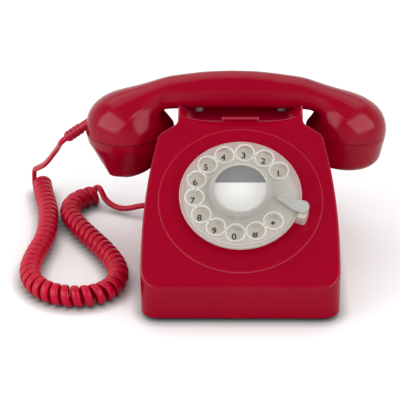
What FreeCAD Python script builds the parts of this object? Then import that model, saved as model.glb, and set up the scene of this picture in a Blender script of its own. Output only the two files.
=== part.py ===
import FreeCAD, Part
import Sketcher
import math
import os

# A wedge-shaped desk telephone with a rotary dial and a curly handset cord.
# Millimetres, +Z up, front towards -Y, origin on the table under the middle of the case.

SIZES = {
    # case cover
    "case_width": 139.6,
    "case_depth": 200.0,
    "foot_height": 2.6,
    "front_height": 25.9,
    "face_slope_angle": 33.0,
    "wall": 3.0,
    "corner_radius": 12.0,
    "bottom_radius": 2.0,
    "edge_radius": 1.6,
    "rear_width": 124.0,
    "taper_start": -20.0,
    "deck_height": 43.5,
    "deck_fall": 1.5,
    "rear_rake": 3.0,
    "wing_setback": 6.3,
    "wing_rake": 2.0,
    # outline of the dial face, measured up the slope from the fold
    "side_straight": 30.0,
    "side_length": 119.5,
    "side_bow": 436.0,
    "shoulder_rise": 6.9,
    "shoulder_inset": 3.9,
    "shoulder_radius": 9.0,
    "neck_rise": 11.8,
    "neck_overhang": 4.4,
    "ear_base_rise": 17.5,
    "neck_radius": 6.5,
    # cradle
    "cradle_width": 91.2,
    "ear_rise": 27.5,
    "ear_crown": 1.84,
    "ear_thickness": 5.4,
    "rear_ear_crown": 4.64,
    "rear_ear_setback": 26.0,
    "cradle_inset": 6.0,
    "cradle_knee": 40.0,
    "lip_drop": 9.2,
    "lip_flat": 60.0,
    "lip_bow": 225.0,
    "ear_bow": 42.0,
    "rear_lip_flat": 40.0,
    "trough_depth": 2.95,
    "trough_width": 82.0,
    "trough_front_reach": 28.5,
    "trough_back_reach": 25.0,
    "trough_ramp": 10.0,
    "trough_flare": 7.0,
    "trough_flare_height": 8.2,
    "rib_length": 27.0,
    "rib_width": 2.2,
    "rib_height": 2.4,
    "rib_setback": 13.55,
    "saddle_setback": 22.715,
    "saddle_gap": 0.75,
    # base
    "base_thickness": 2.5,
    "base_gap": 0.9,
    "foot_diameter": 14.0,
    "foot_margin": 12.8,
    "foot_inset": 12.0,
    "rear_foot_inset": 30.0,
    "boss_diameter": 8.0,
    "front_boss_margin": 15.8,
    "front_boss_inset": 28.0,
    "rear_boss_margin": 10.0,
    "rear_boss_inset": 12.0,
    "screw_diameter": 3.0,
    "screw_head": 5.8,
    "screw_length": 16.0,
    "fit": 0.1,
    "running_fit": 0.05,
    # dial, measured out from the dial face along its axis
    "dial_lift": 9.65,
    "step_diameter": 117.6,
    "step_height": 0.8,
    "housing_diameter": 74.0,
    "housing_flange": 79.6,
    "flange_thickness": 3.6,
    "housing_wall": 2.5,
    "housing_depth": 14.0,
    "housing_floor": 2.0,
    "number_plate_diameter": 79.0,
    "number_plate_thickness": 1.2,
    "finger_plate_diameter": 86.8,
    "finger_plate_gap": 0.8,
    "finger_plate_thickness": 2.8,
    "plate_rim": 2.4,
    "rim_height": 2.0,
    "edge_drop": 0.8,
    "rim_chamfer": 0.4,
    "rim_root": 0.5,
    "hole_circle": 65.2,
    "hole_diameter": 12.2,
    "hole_rim": 1.2,
    "first_hole_angle": 33.0,
    "hole_step_angle": 25.67,
    "label_diameter": 37.0,
    "label_bezel": 44.0,
    "label_rise": 7.1,
    "card_thickness": 0.3,
    "cover_thickness": 0.8,
    "bezel_height": 1.6,
    "bezel_chamfer": 2.4,
    "bezel_lip": 0.5,
    "shaft_diameter": 6.0,
    "hub_diameter": 18.0,
    "number_bore": 22.0,
    "lock_ring_width": 6.5,
    "lock_ring_thickness": 4.0,
    "stop_angle": 16.0,
    "stop_reach": 45.4,
    "stop_width": 9.6,
    "stop_inner": 26.0,
    "stop_lift": 0.6,
    "stop_thickness": 1.2,
    "lug_inner": 38.0,
    "lug_outer": 49.8,
    "lug_width": 11.0,
    "lug_thickness": 9.5,
    # dial movement
    "gear_module": 0.8,
    "gear_teeth": 60.0,
    "pinion_teeth": 12.0,
    "gear_depth": 17.0,
    "gear_thickness": 2.5,
    "cam_depth": 22.0,
    "cam_thickness": 3.0,
    "cam_diameter": 24.0,
    "bridge_depth": 35.0,
    "bridge_thickness": 2.0,
    "bridge_diameter": 80.0,
    "post_diameter": 5.0,
    "post_circle": 60.0,
    "pinion_shaft": 3.0,
    "pivot_diameter": 2.0,
    "governor_diameter": 17.0,
    "governor_gap": 0.8,
    "governor_wall": 1.4,
    "governor_depth": 24.0,
    "governor_height": 7.0,
    "spring_strip": 0.8,
    "spring_pitch": 4.6,
    "spring_turns": 6.0,
    "spring_height": 5.0,
    "contact_length": 8.0,
    "contact_width": 8.0,
    "contact_reach": 4.0,
    "leaf_thickness": 0.4,
    "leaf_spread": 2.8,
    # hook switch
    "plunger_diameter": 6.0,
    "plunger_spread": 62.0,
    "plunger_gap": 0.3,
    "bridge_bar_drop": 9.4,
    "bridge_bar_height": 4.0,
    "bridge_bar_width": 8.0,
    "bracket_drop": 31.0,
    "bracket_thickness": 2.0,
    "bracket_width": 12.0,
    "hook_coil_diameter": 9.0,
    "hook_wire": 1.0,
    "hook_turns": 6.0,
    "switch_length": 12.0,
    "switch_room": 6.0,
    # bell
    "gong_diameter": 50.0,
    "gong_height": 16.0,
    "gong_metal": 1.6,
    "gong_spread": 60.0,
    "gong_setback": 33.0,
    "gong_room": 0.3,
    "gong_stud": 6.0,
    "gong_collar": 10.0,
    "clapper_length": 32.0,
    "clapper_ball": 6.8,
    "clapper_rise": 3.0,
    "pivot_pin": 3.0,
    "ringer_width": 32.0,
    "ringer_top": 42.0,
    "ringer_sheet": 2.5,
    "ringer_depth": 26.0,
    "coil_diameter": 13.0,
    "coil_length": 16.0,
    "coil_spread": 18.0,
    "core_diameter": 5.0,
    # board
    "board_width": 70.0,
    "board_length": 42.0,
    "board_setback": 6.0,
    "board_thickness": 1.6,
    "standoff_height": 3.0,
    "standoff_diameter": 6.0,
    "board_inset": 4.0,
    # sockets
    "handset_socket_inset": 42.0,
    "line_socket_x": 30.0,
    "socket_width": 14.0,
    "socket_height": 9.0,
    "socket_length": 15.0,
    "plug_width": 8.6,
    "plug_height": 5.6,
    "plug_length": 16.0,
    "plug_stand": 2.4,
    # handset
    "handset_shift": -6.1,
    "handset_rise": 5.24,
    "handle_depth": 29.0,
    "handle_top": 12.9,
    "handle_bottom": 11.5,
    "handle_reach": 84.5,
    "top_bow": 232.5,
    "bottom_bow": 676.0,
    "seat_drop": 2.3,
    "shell": 2.4,
    "parting_groove": 0.6,
    "cap_skirt": 3.0,
    "receiver_offset": 85.1,
    "receiver_drop": 32.3,
    "receiver_diameter": 60.0,
    "receiver_dome": 25.0,
    "receiver_tilt_angle": 5.0,
    "ear_cap_height": 25.2,
    "ear_cap_crown": 8.5,
    "ear_cap_waist": 56.6,
    "ear_cap_face": 38.0,
    "mouth_offset": 76.9,
    "mouth_drop": 31.5,
    "mouth_diameter": 66.4,
    "mouth_dome": 28.0,
    "hollow_share": 0.78,
    "mouth_tilt_angle": 2.0,
    "mouth_skirt_depth": 7.3,
    "mouth_skirt_diameter": 65.2,
    "mouth_cap_height": 28.2,
    "mouth_cap_waist": 45.0,
    "mouth_cap_crown": 4.5,
    "mouth_cap_face": 33.0,
    "mouth_cap_shift": 3.4,
    "mouth_face_angle": 20.0,
    "capsule_height": 10.0,
    "capsule_gap": 0.3,
    "transmitter_diameter": 50.6,
    "transmitter_depth": 15.0,
    "weight_diameter": 9.4,
    "weight_length": 70.0,
    "grommet_diameter": 7.2,
    "grommet_rib": 8.4,
    "grommet_length": 21.0,
    "grommet_root": 6.0,
    "grommet_dip_angle": 36.0,
    "grommet_lift": 3.5,
    # cord
    "wire_diameter": 4.3,
    "curl_diameter": 15.8,
    "curl_count": 54.0,
}

HOLES = 12
CAM_NOTCHES = 10
SOUND_HOLES = 6
GROMMET_RIBS = 4


class Dim:
    """A size of the sheet, or a sum of such sizes: its value and its expression."""

    def __init__(self, value, text):
        self.value = float(value)
        self.text = text

    def __add__(self, other):
        other = dim(other)
        return Dim(self.value + other.value, f"({self.text} + {other.text})")

    def __radd__(self, other):
        return dim(other) + self

    def __sub__(self, other):
        other = dim(other)
        return Dim(self.value - other.value, f"({self.text} - {other.text})")

    def __rsub__(self, other):
        return dim(other) - self

    def __mul__(self, other):
        other = dim(other)
        return Dim(self.value * other.value, f"({self.text} * {other.text})")

    def __rmul__(self, other):
        return dim(other) * self

    def __truediv__(self, other):
        other = dim(other)
        return Dim(self.value / other.value, f"({self.text} / {other.text})")

    def __neg__(self):
        return Dim(-self.value, f"(0 - {self.text})")


def dim(number):
    """Take a plain number as a size."""
    if isinstance(number, Dim):
        return number
    return Dim(number, repr(float(number)))


def sine(angle):
    return Dim(math.sin(math.radians(angle.value)), f"sin({angle.text})")


def cosine(angle):
    return Dim(math.cos(math.radians(angle.value)), f"cos({angle.text})")


def tangent(angle):
    return sine(angle) / cosine(angle)


def root(number):
    return Dim(math.sqrt(number.value), f"sqrt({number.text})")


def lean_of(rise, run):
    """The angle of a line that rises over a run."""
    angle = math.degrees(math.atan2(rise.value, run.value))
    return Dim(angle, f"atan2({rise.text}; {run.text})")


doc = FreeCAD.newDocument("telephone")
sheet = doc.addObject("Spreadsheet::Sheet", "Sizes")
for row, (alias, number) in enumerate(SIZES.items(), start=1):
    sheet.set(f"A{row}", alias)
    sheet.set(f"B{row}", str(number))
    sheet.setAlias(f"B{row}", alias)
doc.recompute()


def size(alias):
    """A cell of the sheet as a Dim."""
    return Dim(sheet.get(alias), f"Sizes.{alias}")


NODES = {}

TURN = {
    "XY": FreeCAD.Rotation(),
    "XZ": FreeCAD.Rotation(FreeCAD.Vector(1, 0, 0), 90),
    "YZ": FreeCAD.Rotation(FreeCAD.Vector(1, 1, 1), 120),
}
NORMAL = {
    "XY": FreeCAD.Vector(0, 0, 1),
    "XZ": FreeCAD.Vector(0, 1, 0),
    "YZ": FreeCAD.Vector(1, 0, 0),
}
ACROSS = {"XY": "z", "XZ": "y", "YZ": "x"}


def bind(thing, prop, number):
    """Tie a property of an object to a size."""
    thing.setExpression(prop, dim(number).text)


def move(thing, x=0, y=0, z=0):
    """Place an object by sizes."""
    for letter, number in zip("xyz", (x, y, z)):
        bind(thing, f"Placement.Base.{letter}", number)
    return thing


def turn(thing, axis, angle):
    """Turn an object about its own origin."""
    thing.Placement.Rotation = FreeCAD.Rotation(axis, dim(angle).value)
    bind(thing, "Placement.Rotation.Angle", angle)
    return thing


def keep(node, thing):
    """Name a finished sub-part."""
    thing.Label = node
    NODES[node] = thing
    return thing


def pin_point(sketch, curve, end, x, y):
    """Hold one end of a curve of a sketch at a place given by sizes."""
    for kind, axis, number in (("DistanceX", -2, dim(x)), ("DistanceY", -1, dim(y))):
        if number.value == 0.0 and "Sizes" not in number.text:
            sketch.addConstraint(Sketcher.Constraint("PointOnObject", curve, end, axis))
            continue
        index = sketch.addConstraint(Sketcher.Constraint(kind, -1, 1, curve, end, number.value))
        sketch.setExpression(f"Constraints[{index}]", number.text)


def arc_middle(start, end, radius):
    """The middle of the arc between two points, and whether it runs clockwise."""
    chord = end - start
    half = chord.Length / 2
    rise = abs(radius) - math.sqrt(max(radius * radius - half * half, 0.0))
    left = FreeCAD.Vector(-chord.y, chord.x, 0).normalize()
    side = 1 if radius > 0 else -1
    return start + chord * 0.5 + left * (rise * side), side > 0


def outline(name, points, plane="XY"):
    """Draw a closed sketch. A point is (x, y), or (x, y, radius) where an arc leads to it.

    A positive radius bows to the left of the way along the outline, a negative one to the right.
    """
    sketch = doc.addObject("Sketcher::SketchObject", name)
    sketch.Placement = FreeCAD.Placement(FreeCAD.Vector(), TURN[plane])
    corners = [FreeCAD.Vector(dim(p[0]).value, dim(p[1]).value, 0) for p in points]
    for index, point in enumerate(points):
        start = corners[index - 1]
        end = corners[index]
        if len(point) == 2:
            curve = sketch.addGeometry(Part.LineSegment(start, end))
            first, last = 1, 2
        else:
            radius = dim(point[2])
            middle, clockwise = arc_middle(start, end, radius.value)
            curve = sketch.addGeometry(Part.Arc(start, middle, end))
            first, last = (2, 1) if clockwise else (1, 2)
            mark = sketch.addConstraint(Sketcher.Constraint("Radius", curve, abs(radius.value)))
            sketch.setExpression(f"Constraints[{mark}]", f"abs({radius.text})")
        before = points[index - 1]
        pin_point(sketch, curve, first, before[0], before[1])
        pin_point(sketch, curve, last, point[0], point[1])
    return sketch


def mirrored(points):
    """Complete an outline that is drawn for +X only, from its foot up."""
    other = []
    for index in range(len(points) - 1, -1, -1):
        x, y = points[index][:2]
        if index + 1 < len(points) and len(points[index + 1]) == 3:
            other.append((-x, y, points[index + 1][2]))
        else:
            other.append((-x, y))
    return points + other


def extrude(name, sketch, way, length):
    """Extrude a sketch along a direction."""
    solid = doc.addObject("Part::Extrusion", name)
    solid.Base = sketch
    solid.DirMode = "Custom"
    solid.Dir = way
    bind(solid, "LengthFwd", length)
    solid.Solid = True
    return solid


def prism(name, points, plane, low, high):
    """Extrude an outline across its plane, from one size to another."""
    sketch = outline(name + "_outline", points, plane)
    bind(sketch, f"Placement.Base.{ACROSS[plane]}", low)
    return extrude(name, sketch, NORMAL[plane], dim(high) - dim(low))


def block(name, low, high):
    """A box between two corners."""
    solid = doc.addObject("Part::Box", name)
    for prop, a, b in zip(("Length", "Width", "Height"), low, high):
        bind(solid, prop, dim(b) - dim(a))
    return move(solid, *low)


def rod(name, radius, low, high, x=0, y=0):
    """An upright cylinder between two heights."""
    solid = doc.addObject("Part::Cylinder", name)
    bind(solid, "Radius", radius)
    bind(solid, "Height", dim(high) - dim(low))
    return move(solid, x, y, low)


def bar(name, radius, axis, start, length):
    """A cylinder along an axis from a starting point."""
    solid = doc.addObject("Part::Cylinder", name)
    solid.Placement.Rotation = FreeCAD.Rotation(FreeCAD.Vector(0, 0, 1), axis)
    bind(solid, "Radius", radius)
    bind(solid, "Height", length)
    return move(solid, *start)


def turned(name, points):
    """Turn an outline of (radius, height) points about the Z axis."""
    solid = doc.addObject("Part::Revolution", name)
    solid.Source = outline(name + "_outline", points, "XZ")
    solid.Axis = FreeCAD.Vector(0, 0, 1)
    solid.Base = FreeCAD.Vector(0, 0, 0)
    solid.Angle = 360.0
    solid.Solid = True
    return solid


def ring(name, inner, outer, low, high):
    """A plain ring about the Z axis."""
    return turned(name, [(inner, low), (outer, low), (outer, high), (inner, high)])


def join(name, shapes):
    solid = doc.addObject("Part::MultiFuse", name)
    solid.Shapes = shapes
    solid.Refine = True
    return solid


def overlap(name, shapes):
    solid = doc.addObject("Part::MultiCommon", name)
    solid.Shapes = shapes
    return solid


def less(name, base, tools):
    """Cut one or more tools out of a base."""
    solid = doc.addObject("Part::Cut", name)
    solid.Base = base
    solid.Tool = tools[0] if len(tools) == 1 else join(name + "_tools", tools)
    solid.Refine = True
    return solid


def group(name, shapes):
    """Separate solids that share one node."""
    solid = doc.addObject("Part::Compound", name)
    solid.Links = shapes
    return solid


def rounded(name, base, choose, radius):
    """Round the edges of a solid that a test chooses."""
    doc.recompute()
    solid = doc.addObject("Part::Fillet", name)
    solid.Base = base
    picked = [n for n, edge in enumerate(base.Shape.Edges, start=1) if choose(edge)]
    solid.Edges = [(n, dim(radius).value, dim(radius).value) for n in picked]
    return solid


def feature(name, shape):
    """An object with a shape that no sketch or primitive gives."""
    solid = doc.addObject("Part::Feature", name)
    solid.Shape = shape
    return solid


def along(edge, share):
    """A point part of the way along an edge."""
    return edge.valueAt(edge.FirstParameter + (edge.LastParameter - edge.FirstParameter) * share)


def upright(edge):
    """Whether an edge is a vertical line."""
    return (along(edge, 1) - along(edge, 0)).cross(FreeCAD.Vector(0, 0, 1)).Length < 0.001


X_AXIS = FreeCAD.Vector(1, 0, 0)
Y_AXIS = FreeCAD.Vector(0, 1, 0)
Z_AXIS = FreeCAD.Vector(0, 0, 1)

half_width = size("case_width") / 2
half_depth = size("case_depth") / 2
case_foot = size("foot_height")
fold = case_foot + size("front_height")
slope = size("face_slope_angle")
wall = size("wall")
fit = size("fit")
running = size("running_fit")
side_drawn_in = size("side_bow") - root(
    size("side_bow") * size("side_bow")
    - (size("side_length") - size("side_straight")) * (size("side_length") - size("side_straight")))
# the cradle takes its place from the top of the dial face
ear_reach = size("side_length") + size("ear_rise")
tip_y = ear_reach * cosine(slope) - half_depth
tip_z = fold + ear_reach * sine(slope)
ear_height = tip_z + size("ear_crown")
rear_ear_height = tip_z + size("rear_ear_crown")
lip_height = tip_z - size("lip_drop")
handset_y = tip_y + size("saddle_setback")
handset_height = tip_z + size("handset_rise")
rear_ear_back = handset_y + size("rear_ear_setback")
cradle_rear = half_depth - size("cradle_inset")
trough_front = handset_y - size("trough_front_reach")
trough_back = handset_y + size("trough_back_reach")
wing_back = tip_y - size("wing_setback")
trough_floor = lip_height - size("trough_depth")
roof = trough_floor - wall
base_top = case_foot + size("base_thickness")
handle_low = handset_height - size("handle_bottom")
dial_rise = size("side_length") / 2 + size("dial_lift")
dial_y = dial_rise * cosine(slope) - half_depth
dial_z = fold + dial_rise * sine(slope)
gong_y = half_depth - size("gong_setback")
gong_rim = size("deck_height") - size("deck_fall") - wall - size("gong_room") - size("gong_height")
clapper_y = gong_y - size("clapper_length")
clapper_z = gong_rim + size("clapper_rise")
socket_y = half_depth - size("handset_socket_inset")


def face_height(y, inset=0.0):
    """Height of the dial face at a depth, or of a plane that lies under it."""
    return fold + (dim(y) + half_depth) * tangent(slope) - dim(inset) / cosine(slope)


def on_dial(thing):
    """Seat an object that is drawn about the dial's axis, with Z = 0 on the dial face."""
    turn(thing, X_AXIS, slope)
    return move(thing, 0, dial_y, dial_z)


def plan_block(name, inset, low, high):
    """The case seen from above, drawn in by a margin, with rounded corners."""
    half = half_width - inset
    rear_half = size("rear_width") / 2 - inset
    front = inset - half_depth
    rear = half_depth - inset
    plain = prism(name + "_plain", [
        (-half, front),
        (half, front),
        (half, size("taper_start")),
        (rear_half, rear),
        (-rear_half, rear),
        (-half, size("taper_start")),
    ], "XY", low, high)

    def at_corner(edge):
        return upright(edge) and abs(along(edge, 0).y - size("taper_start").value) > 1

    return rounded(name, plain, at_corner, size("corner_radius") - inset)


def face_block(name, inset):
    """The outline of the dial face, drawn in by a wall and carried down square to the face."""
    half = half_width - inset
    straight = size("side_straight")
    top = size("side_length")
    side_x = half - side_drawn_in
    ear_x = size("cradle_width") / 2 - inset
    below = -size("front_height") - size("case_depth") / 4
    points = [(half, below), (half, straight), (side_x, top, -(size("side_bow") - inset))]
    if inset.value == 0.0:
        points += [
            (side_x - size("shoulder_inset"), top + size("shoulder_rise"), -size("shoulder_radius")),
            (ear_x + size("neck_overhang"), top + size("neck_rise")),
            (ear_x, top + size("ear_base_rise"), size("neck_radius")),
            (ear_x, ear_reach + size("ear_thickness")),
        ]
    else:
        points += [(ear_x, top + size("neck_rise") - inset)]
    sketch = outline(name + "_outline", mirrored(points))
    turn(sketch, X_AXIS, slope)
    move(sketch, 0, -half_depth, fold)
    solid = doc.addObject("Part::Extrusion", name)
    solid.Base = sketch
    solid.DirMode = "Normal"
    bind(solid, "LengthFwd", size("edge_radius") * 2)
    bind(solid, "LengthRev", size("case_depth"))
    solid.Solid = True
    return solid


def wedge(name, inset, foot, plan):
    """The wide wedge under the dial face."""
    front = inset - half_depth
    back = wing_back - inset
    side = prism(name + "_side", [
        (front, foot),
        (front, face_height(front, inset)),
        (back, face_height(back, inset)),
        (back + size("wing_rake"), size("deck_height")),
        (back + size("wing_rake"), foot),
    ], "YZ", -size("case_width"), size("case_width"))
    return overlap(name, [face_block(name + "_face", inset), side, plan])


def low_block(name, inset, foot, plan):
    """The low block behind the wedge."""
    rear = half_depth - inset
    deck = size("deck_height") - inset
    side = prism(name + "_side", [
        (size("taper_start"), foot),
        (size("taper_start"), deck),
        (rear - size("rear_rake"), deck - size("deck_fall")),
        (rear, foot),
    ], "YZ", -size("case_width"), size("case_width"))
    return overlap(name, [side, plan])


def cradle_block(name, inset, foot):
    """The narrow block that carries the handset."""
    half = size("cradle_width") / 2 - inset
    start = size("taper_start") * 2
    knee = size("cradle_knee")
    foot_y = cradle_rear - inset
    run = (cradle_rear - rear_ear_back) / (rear_ear_height - knee)
    saddle_y = handset_y
    if inset.value == 0.0:
        top = [
            (tip_y, face_height(tip_y)),
            (tip_y + size("ear_thickness"), ear_height),
            (saddle_y, ear_height),
            (saddle_y + size("handle_depth") / 2, rear_ear_height),
            (rear_ear_back, rear_ear_height),
        ]
    else:
        under_y = (roof - fold + inset / cosine(slope)) / tangent(slope) - half_depth
        top = [
            (under_y, roof),
            (rear_ear_back + (rear_ear_height - roof) * run - inset, roof),
        ]
    return prism(name, [(start, foot), (start, face_height(start, inset))] + top
                 + [(foot_y, knee), (foot_y, foot)], "YZ", -half, half)


def lip_cut(name, flat, front, back):
    """The hollow between the ears, seen from the front: a slow bow with tighter ends."""
    half_flat = flat / 2
    bow = size("lip_bow")
    tight = size("ear_bow")
    lean = half_flat / bow
    level = root(1 - lean * lean)
    low = lip_height
    knee_z = low + bow * (1 - level)
    end_x = size("cradle_width") / 2 + size("wall")
    end_lean = lean + (end_x - half_flat) / tight
    end_z = knee_z + tight * (level - root(1 - end_lean * end_lean))
    high = rear_ear_height + size("ear_thickness") * 2
    return prism(name, [
        (-end_x, end_z),
        (-half_flat, knee_z, -tight),
        (half_flat, knee_z, -bow),
        (end_x, end_z, -tight),
        (end_x, high),
        (-end_x, high),
    ], "XZ", front, back)


def saddle_cut():
    """The channel across the ears that the handle lies in."""
    y = handset_y
    half = size("handle_depth") / 2 + size("saddle_gap")
    seat = handle_low - size("seat_drop")
    high = rear_ear_height + size("ear_thickness")
    easing = size("wall")
    return prism("saddle", [
        (y - half + easing * 1.9, seat),
        (y + half - easing * 1.9, seat),
        (y + half - easing * 0.5, seat + easing),
        (y + half + easing * 0.8, seat + easing * 4.2),
        (y + half + easing * 0.8, high),
        (y - half - easing * 0.8, high),
        (y - half - easing * 0.8, seat + easing * 4.2),
        (y - half + easing * 0.5, seat + easing),
    ], "YZ", -size("case_width"), size("case_width"))


def trough_cut():
    """The hollow under the handle."""
    half = size("trough_width") / 2
    ramp = size("trough_ramp")
    high = rear_ear_height + size("ear_thickness")
    along = prism("trough_along", [
        (trough_front, lip_height),
        (trough_front + ramp, trough_floor),
        (trough_back - ramp, trough_floor),
        (trough_back, lip_height),
        (trough_back, high),
        (trough_front, high),
    ], "YZ", -half, half)
    flat = half - size("trough_flare")
    flare_top = trough_floor + size("trough_flare_height")
    across = prism("trough_across", [
        (-flat, trough_floor),
        (flat, trough_floor),
        (half, flare_top),
        (half, high),
        (-half, high),
        (-half, flare_top),
    ], "XZ", trough_front, trough_back)
    return overlap("trough", [along, across])


def finger_rib():
    """The short raised rib in front of the hollow."""
    half = size("rib_length") / 2
    lip_y = (lip_height - fold) / tangent(slope) - half_depth
    front = lip_y + size("rib_setback")
    fall = size("trough_depth") / size("trough_ramp")
    top = lip_height - (front - trough_front) * fall + size("rib_height")
    return block("finger_rib", (-half, front, roof + wall / 2), (half, front + size("rib_width"), top))


def corner_places(spread, front_y, rear_spread, rear_y):
    """The four places of a fastener or foot."""
    return [
        (-spread / 2, front_y), (spread / 2, front_y), (rear_spread / 2, rear_y), (-rear_spread / 2, rear_y)]


boss_places = corner_places(
    size("case_width") - size("front_boss_margin") * 2, size("front_boss_inset") - half_depth,
    size("rear_width") - size("rear_boss_margin") * 2, half_depth - size("rear_boss_inset"))
foot_places = corner_places(
    size("case_width") - size("foot_margin") * 2, size("foot_inset") - half_depth,
    size("rear_width") - size("foot_margin") * 2, half_depth - size("rear_foot_inset"))
tall = rear_ear_height * 2
hole_radius = size("housing_diameter") / 2 + running
plug_z = base_top + size("socket_height") / 2
wall_run = (size("case_width") - size("rear_width")) / 2 / (half_depth - size("taper_start"))
side_wall_x = half_width - (socket_y - size("taper_start")) * wall_run


def case_cover():
    """The moulded case: skin, hollow, cradle and everything that is cut through it."""
    none = dim(0.0)
    below = dim(0.0)
    fold_point = FreeCAD.Vector(0, -half_depth.value, fold.value)
    out = FreeCAD.Vector(0, -sine(slope).value, cosine(slope).value)

    def at_foot(edge):
        return edge.BoundBox.ZMax < case_foot.value + 0.01

    def on_face(edge):
        spots = [along(edge, share) for share in (0, 0.5, 1)]
        flat = max(abs((spot - fold_point).dot(out)) for spot in spots) < 0.05
        return flat and spots[1].z < tip_z.value - 0.5

    plan = plan_block("outer_plan", none, case_foot, tall)
    plan = rounded("outer_plan_foot", plan, at_foot, size("bottom_radius"))
    outer = join("case_outer", [
        wedge("outer_wedge", none, case_foot, plan),
        low_block("outer_low", none, case_foot, plan),
        cradle_block("outer_cradle", none, case_foot),
    ])
    outer = rounded("case_edges", outer, on_face, size("edge_radius"))
    step_r = size("step_diameter") / 2
    step = size("step_height")
    dial_step = on_dial(turned("dial_step", [
        (0, -wall), (step_r, -wall), (step_r, step / 2), (step_r - step / 2, step), (0, step)]))
    solid = join("case_solid", [outer, dial_step])

    inner_plan = plan_block("inner_plan", wall, below, tall)
    hollow = join("case_hollow", [
        wedge("inner_wedge", wall, below, inner_plan),
        low_block("inner_low", wall, below, inner_plan),
        cradle_block("inner_cradle", wall, below),
    ])
    saddle_y = handset_y
    slot_y = size("plug_width") / 2 + fit * 5
    slot_z = size("plug_height") / 2 + fit * 5
    cuts = [
        hollow,
        lip_cut("front_lip", size("lip_flat"), -half_depth, saddle_y),
        lip_cut("rear_lip", size("rear_lip_flat"), saddle_y, half_depth),
        trough_cut(),
        saddle_cut(),
        on_dial(rod_on_axis("dial_opening", hole_radius, -wall * 4, size("edge_radius"))),
        block("handset_slot",
              (-half_width, socket_y - slot_y, plug_z - slot_z),
              (-size("rear_width") / 2 + wall * 2, socket_y + slot_y, plug_z + slot_z)),
        block("line_slot",
              (size("line_socket_x") - slot_y, half_depth - wall * 2, plug_z - slot_z),
              (size("line_socket_x") + slot_y, half_depth + wall, plug_z + slot_z)),
    ]
    for side, name in ((-1, "left"), (1, "right")):
        cuts.append(rod(f"plunger_hole_{name}", size("plunger_diameter") / 2 + fit, roof - wall,
                        trough_floor + wall, size("plunger_spread") / 2 * side, saddle_y))
    shell = less("case_shell", solid, cuts)
    bosses = []
    bores = []
    for number, (x, y) in enumerate(boss_places):
        column = rod(f"boss_{number}", size("boss_diameter") / 2, base_top, tall, x, y)
        bosses.append(overlap(f"boss_trimmed_{number}", [column, outer]))
        bores.append(rod(f"boss_bore_{number}", size("screw_diameter") / 2 + running, base_top - wall,
                         case_foot + size("screw_length") + wall / 2, x, y))
    whole = join("case_whole", [shell, finger_rib()] + bosses)
    return less("case_cover", whole, bores)


def rod_on_axis(name, radius, low, high):
    """A plain cylinder about the Z axis that may be seated elsewhere afterwards."""
    return turned(name, [(0, low), (radius, low), (radius, high), (0, high)])


def screw(name, grow, low, high, head, shank):
    """A countersunk screw, or the hole for one when it is grown."""
    taper = head - shank
    return turned(name, [
        (0, low),
        (head + grow, low),
        (head + grow, low + grow + fit * 3),
        (shank + grow, low + grow + fit * 3 + taper),
        (shank + grow, high),
        (0, high),
    ])


def base_pieces():
    """The base plate with its feet and screws."""
    head = size("screw_head") / 2
    shank = size("screw_diameter") / 2
    plain = plan_block("base_plan", wall + size("base_gap"), case_foot, base_top)
    holes = []
    screws = []
    feet = []
    foot_r = size("foot_diameter") / 2
    for number, (x, y) in enumerate(boss_places):
        holes.append(move(screw(f"base_hole_{number}", fit, case_foot, base_top + wall, head, shank), x, y))
        screws.append(move(screw(f"base_screw_{number}", dim(0.0), case_foot,
                                 case_foot + size("screw_length"), head, shank), x, y))
    for number, (x, y) in enumerate(foot_places):
        foot = turned(f"foot_{number}", [
            (0, 0), (foot_r * 0.85, 0), (foot_r, case_foot / 2), (foot_r, case_foot), (0, case_foot)])
        feet.append(move(foot, x, y))
    keep("base_plate", less("base_plate", plain, holes))
    keep("base_screws", group("base_screws", screws))
    keep("rubber_feet", group("rubber_feet", feet))


def gear_face(teeth, module, phase, bore):
    """A spur gear outline with thinned straight-flanked teeth, and a round bore."""
    pitch_r = teeth * module / 2
    step = 2 * math.pi / teeth
    flank = math.tan(math.radians(20)) * module / pitch_r
    half = step / 4 * 0.72
    tip_r = pitch_r + 0.8 * module
    root_r = pitch_r - 1.1 * module
    corners = []
    for tooth in range(int(teeth)):
        middle = phase + tooth * step
        for radius, lean in ((root_r, -half - 1.1 * flank), (tip_r, -half + 0.8 * flank),
                             (tip_r, half - 0.8 * flank), (root_r, half + 1.1 * flank)):
            angle = middle + lean
            corners.append(FreeCAD.Vector(radius * math.cos(angle), radius * math.sin(angle), 0))
    face = Part.Face(Part.makePolygon(corners + corners[:1]))
    if bore > 0:
        face = face.cut(Part.Face(Part.Wire(Part.makeCircle(bore))))
    return face


def gear(name, teeth, phase, bore, low, thickness):
    """A spur gear about the Z axis."""
    face = gear_face(teeth.value, size("gear_module").value, phase, dim(bore).value)
    if face.ShapeType != "Face":
        face = face.Faces[0]
    face.translate(FreeCAD.Vector(0, 0, dim(low).value))
    return feature(name, face.extrude(FreeCAD.Vector(0, 0, dim(thickness).value)))


def spiral(name, inner, pitch, turns, strip, low, height):
    """A flat spiral strip made of half circles."""
    ahead = []
    back = []
    for half in range(int(turns * 2)):
        radius = inner + half * pitch / 2
        middle = FreeCAD.Vector(0 if half % 2 == 0 else pitch / 2, 0, low)
        side = 1 if half % 2 == 0 else -1
        for store, grow in ((ahead, strip / 2), (back, -strip / 2)):
            reach = radius + grow
            start = middle + FreeCAD.Vector(reach * side, 0, 0)
            top = middle + FreeCAD.Vector(0, reach * side, 0)
            end = middle - FreeCAD.Vector(reach * side, 0, 0)
            store.append(Part.Arc(start, top, end).toShape())
    caps = [Part.makeLine(ahead[0].Vertexes[0].Point, back[0].Vertexes[0].Point),
            Part.makeLine(ahead[-1].Vertexes[-1].Point, back[-1].Vertexes[-1].Point)]
    wire = Part.Wire(Part.__sortEdges__(ahead + back + caps))
    return feature(name, Part.Face(wire).extrude(FreeCAD.Vector(0, 0, height)))


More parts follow.
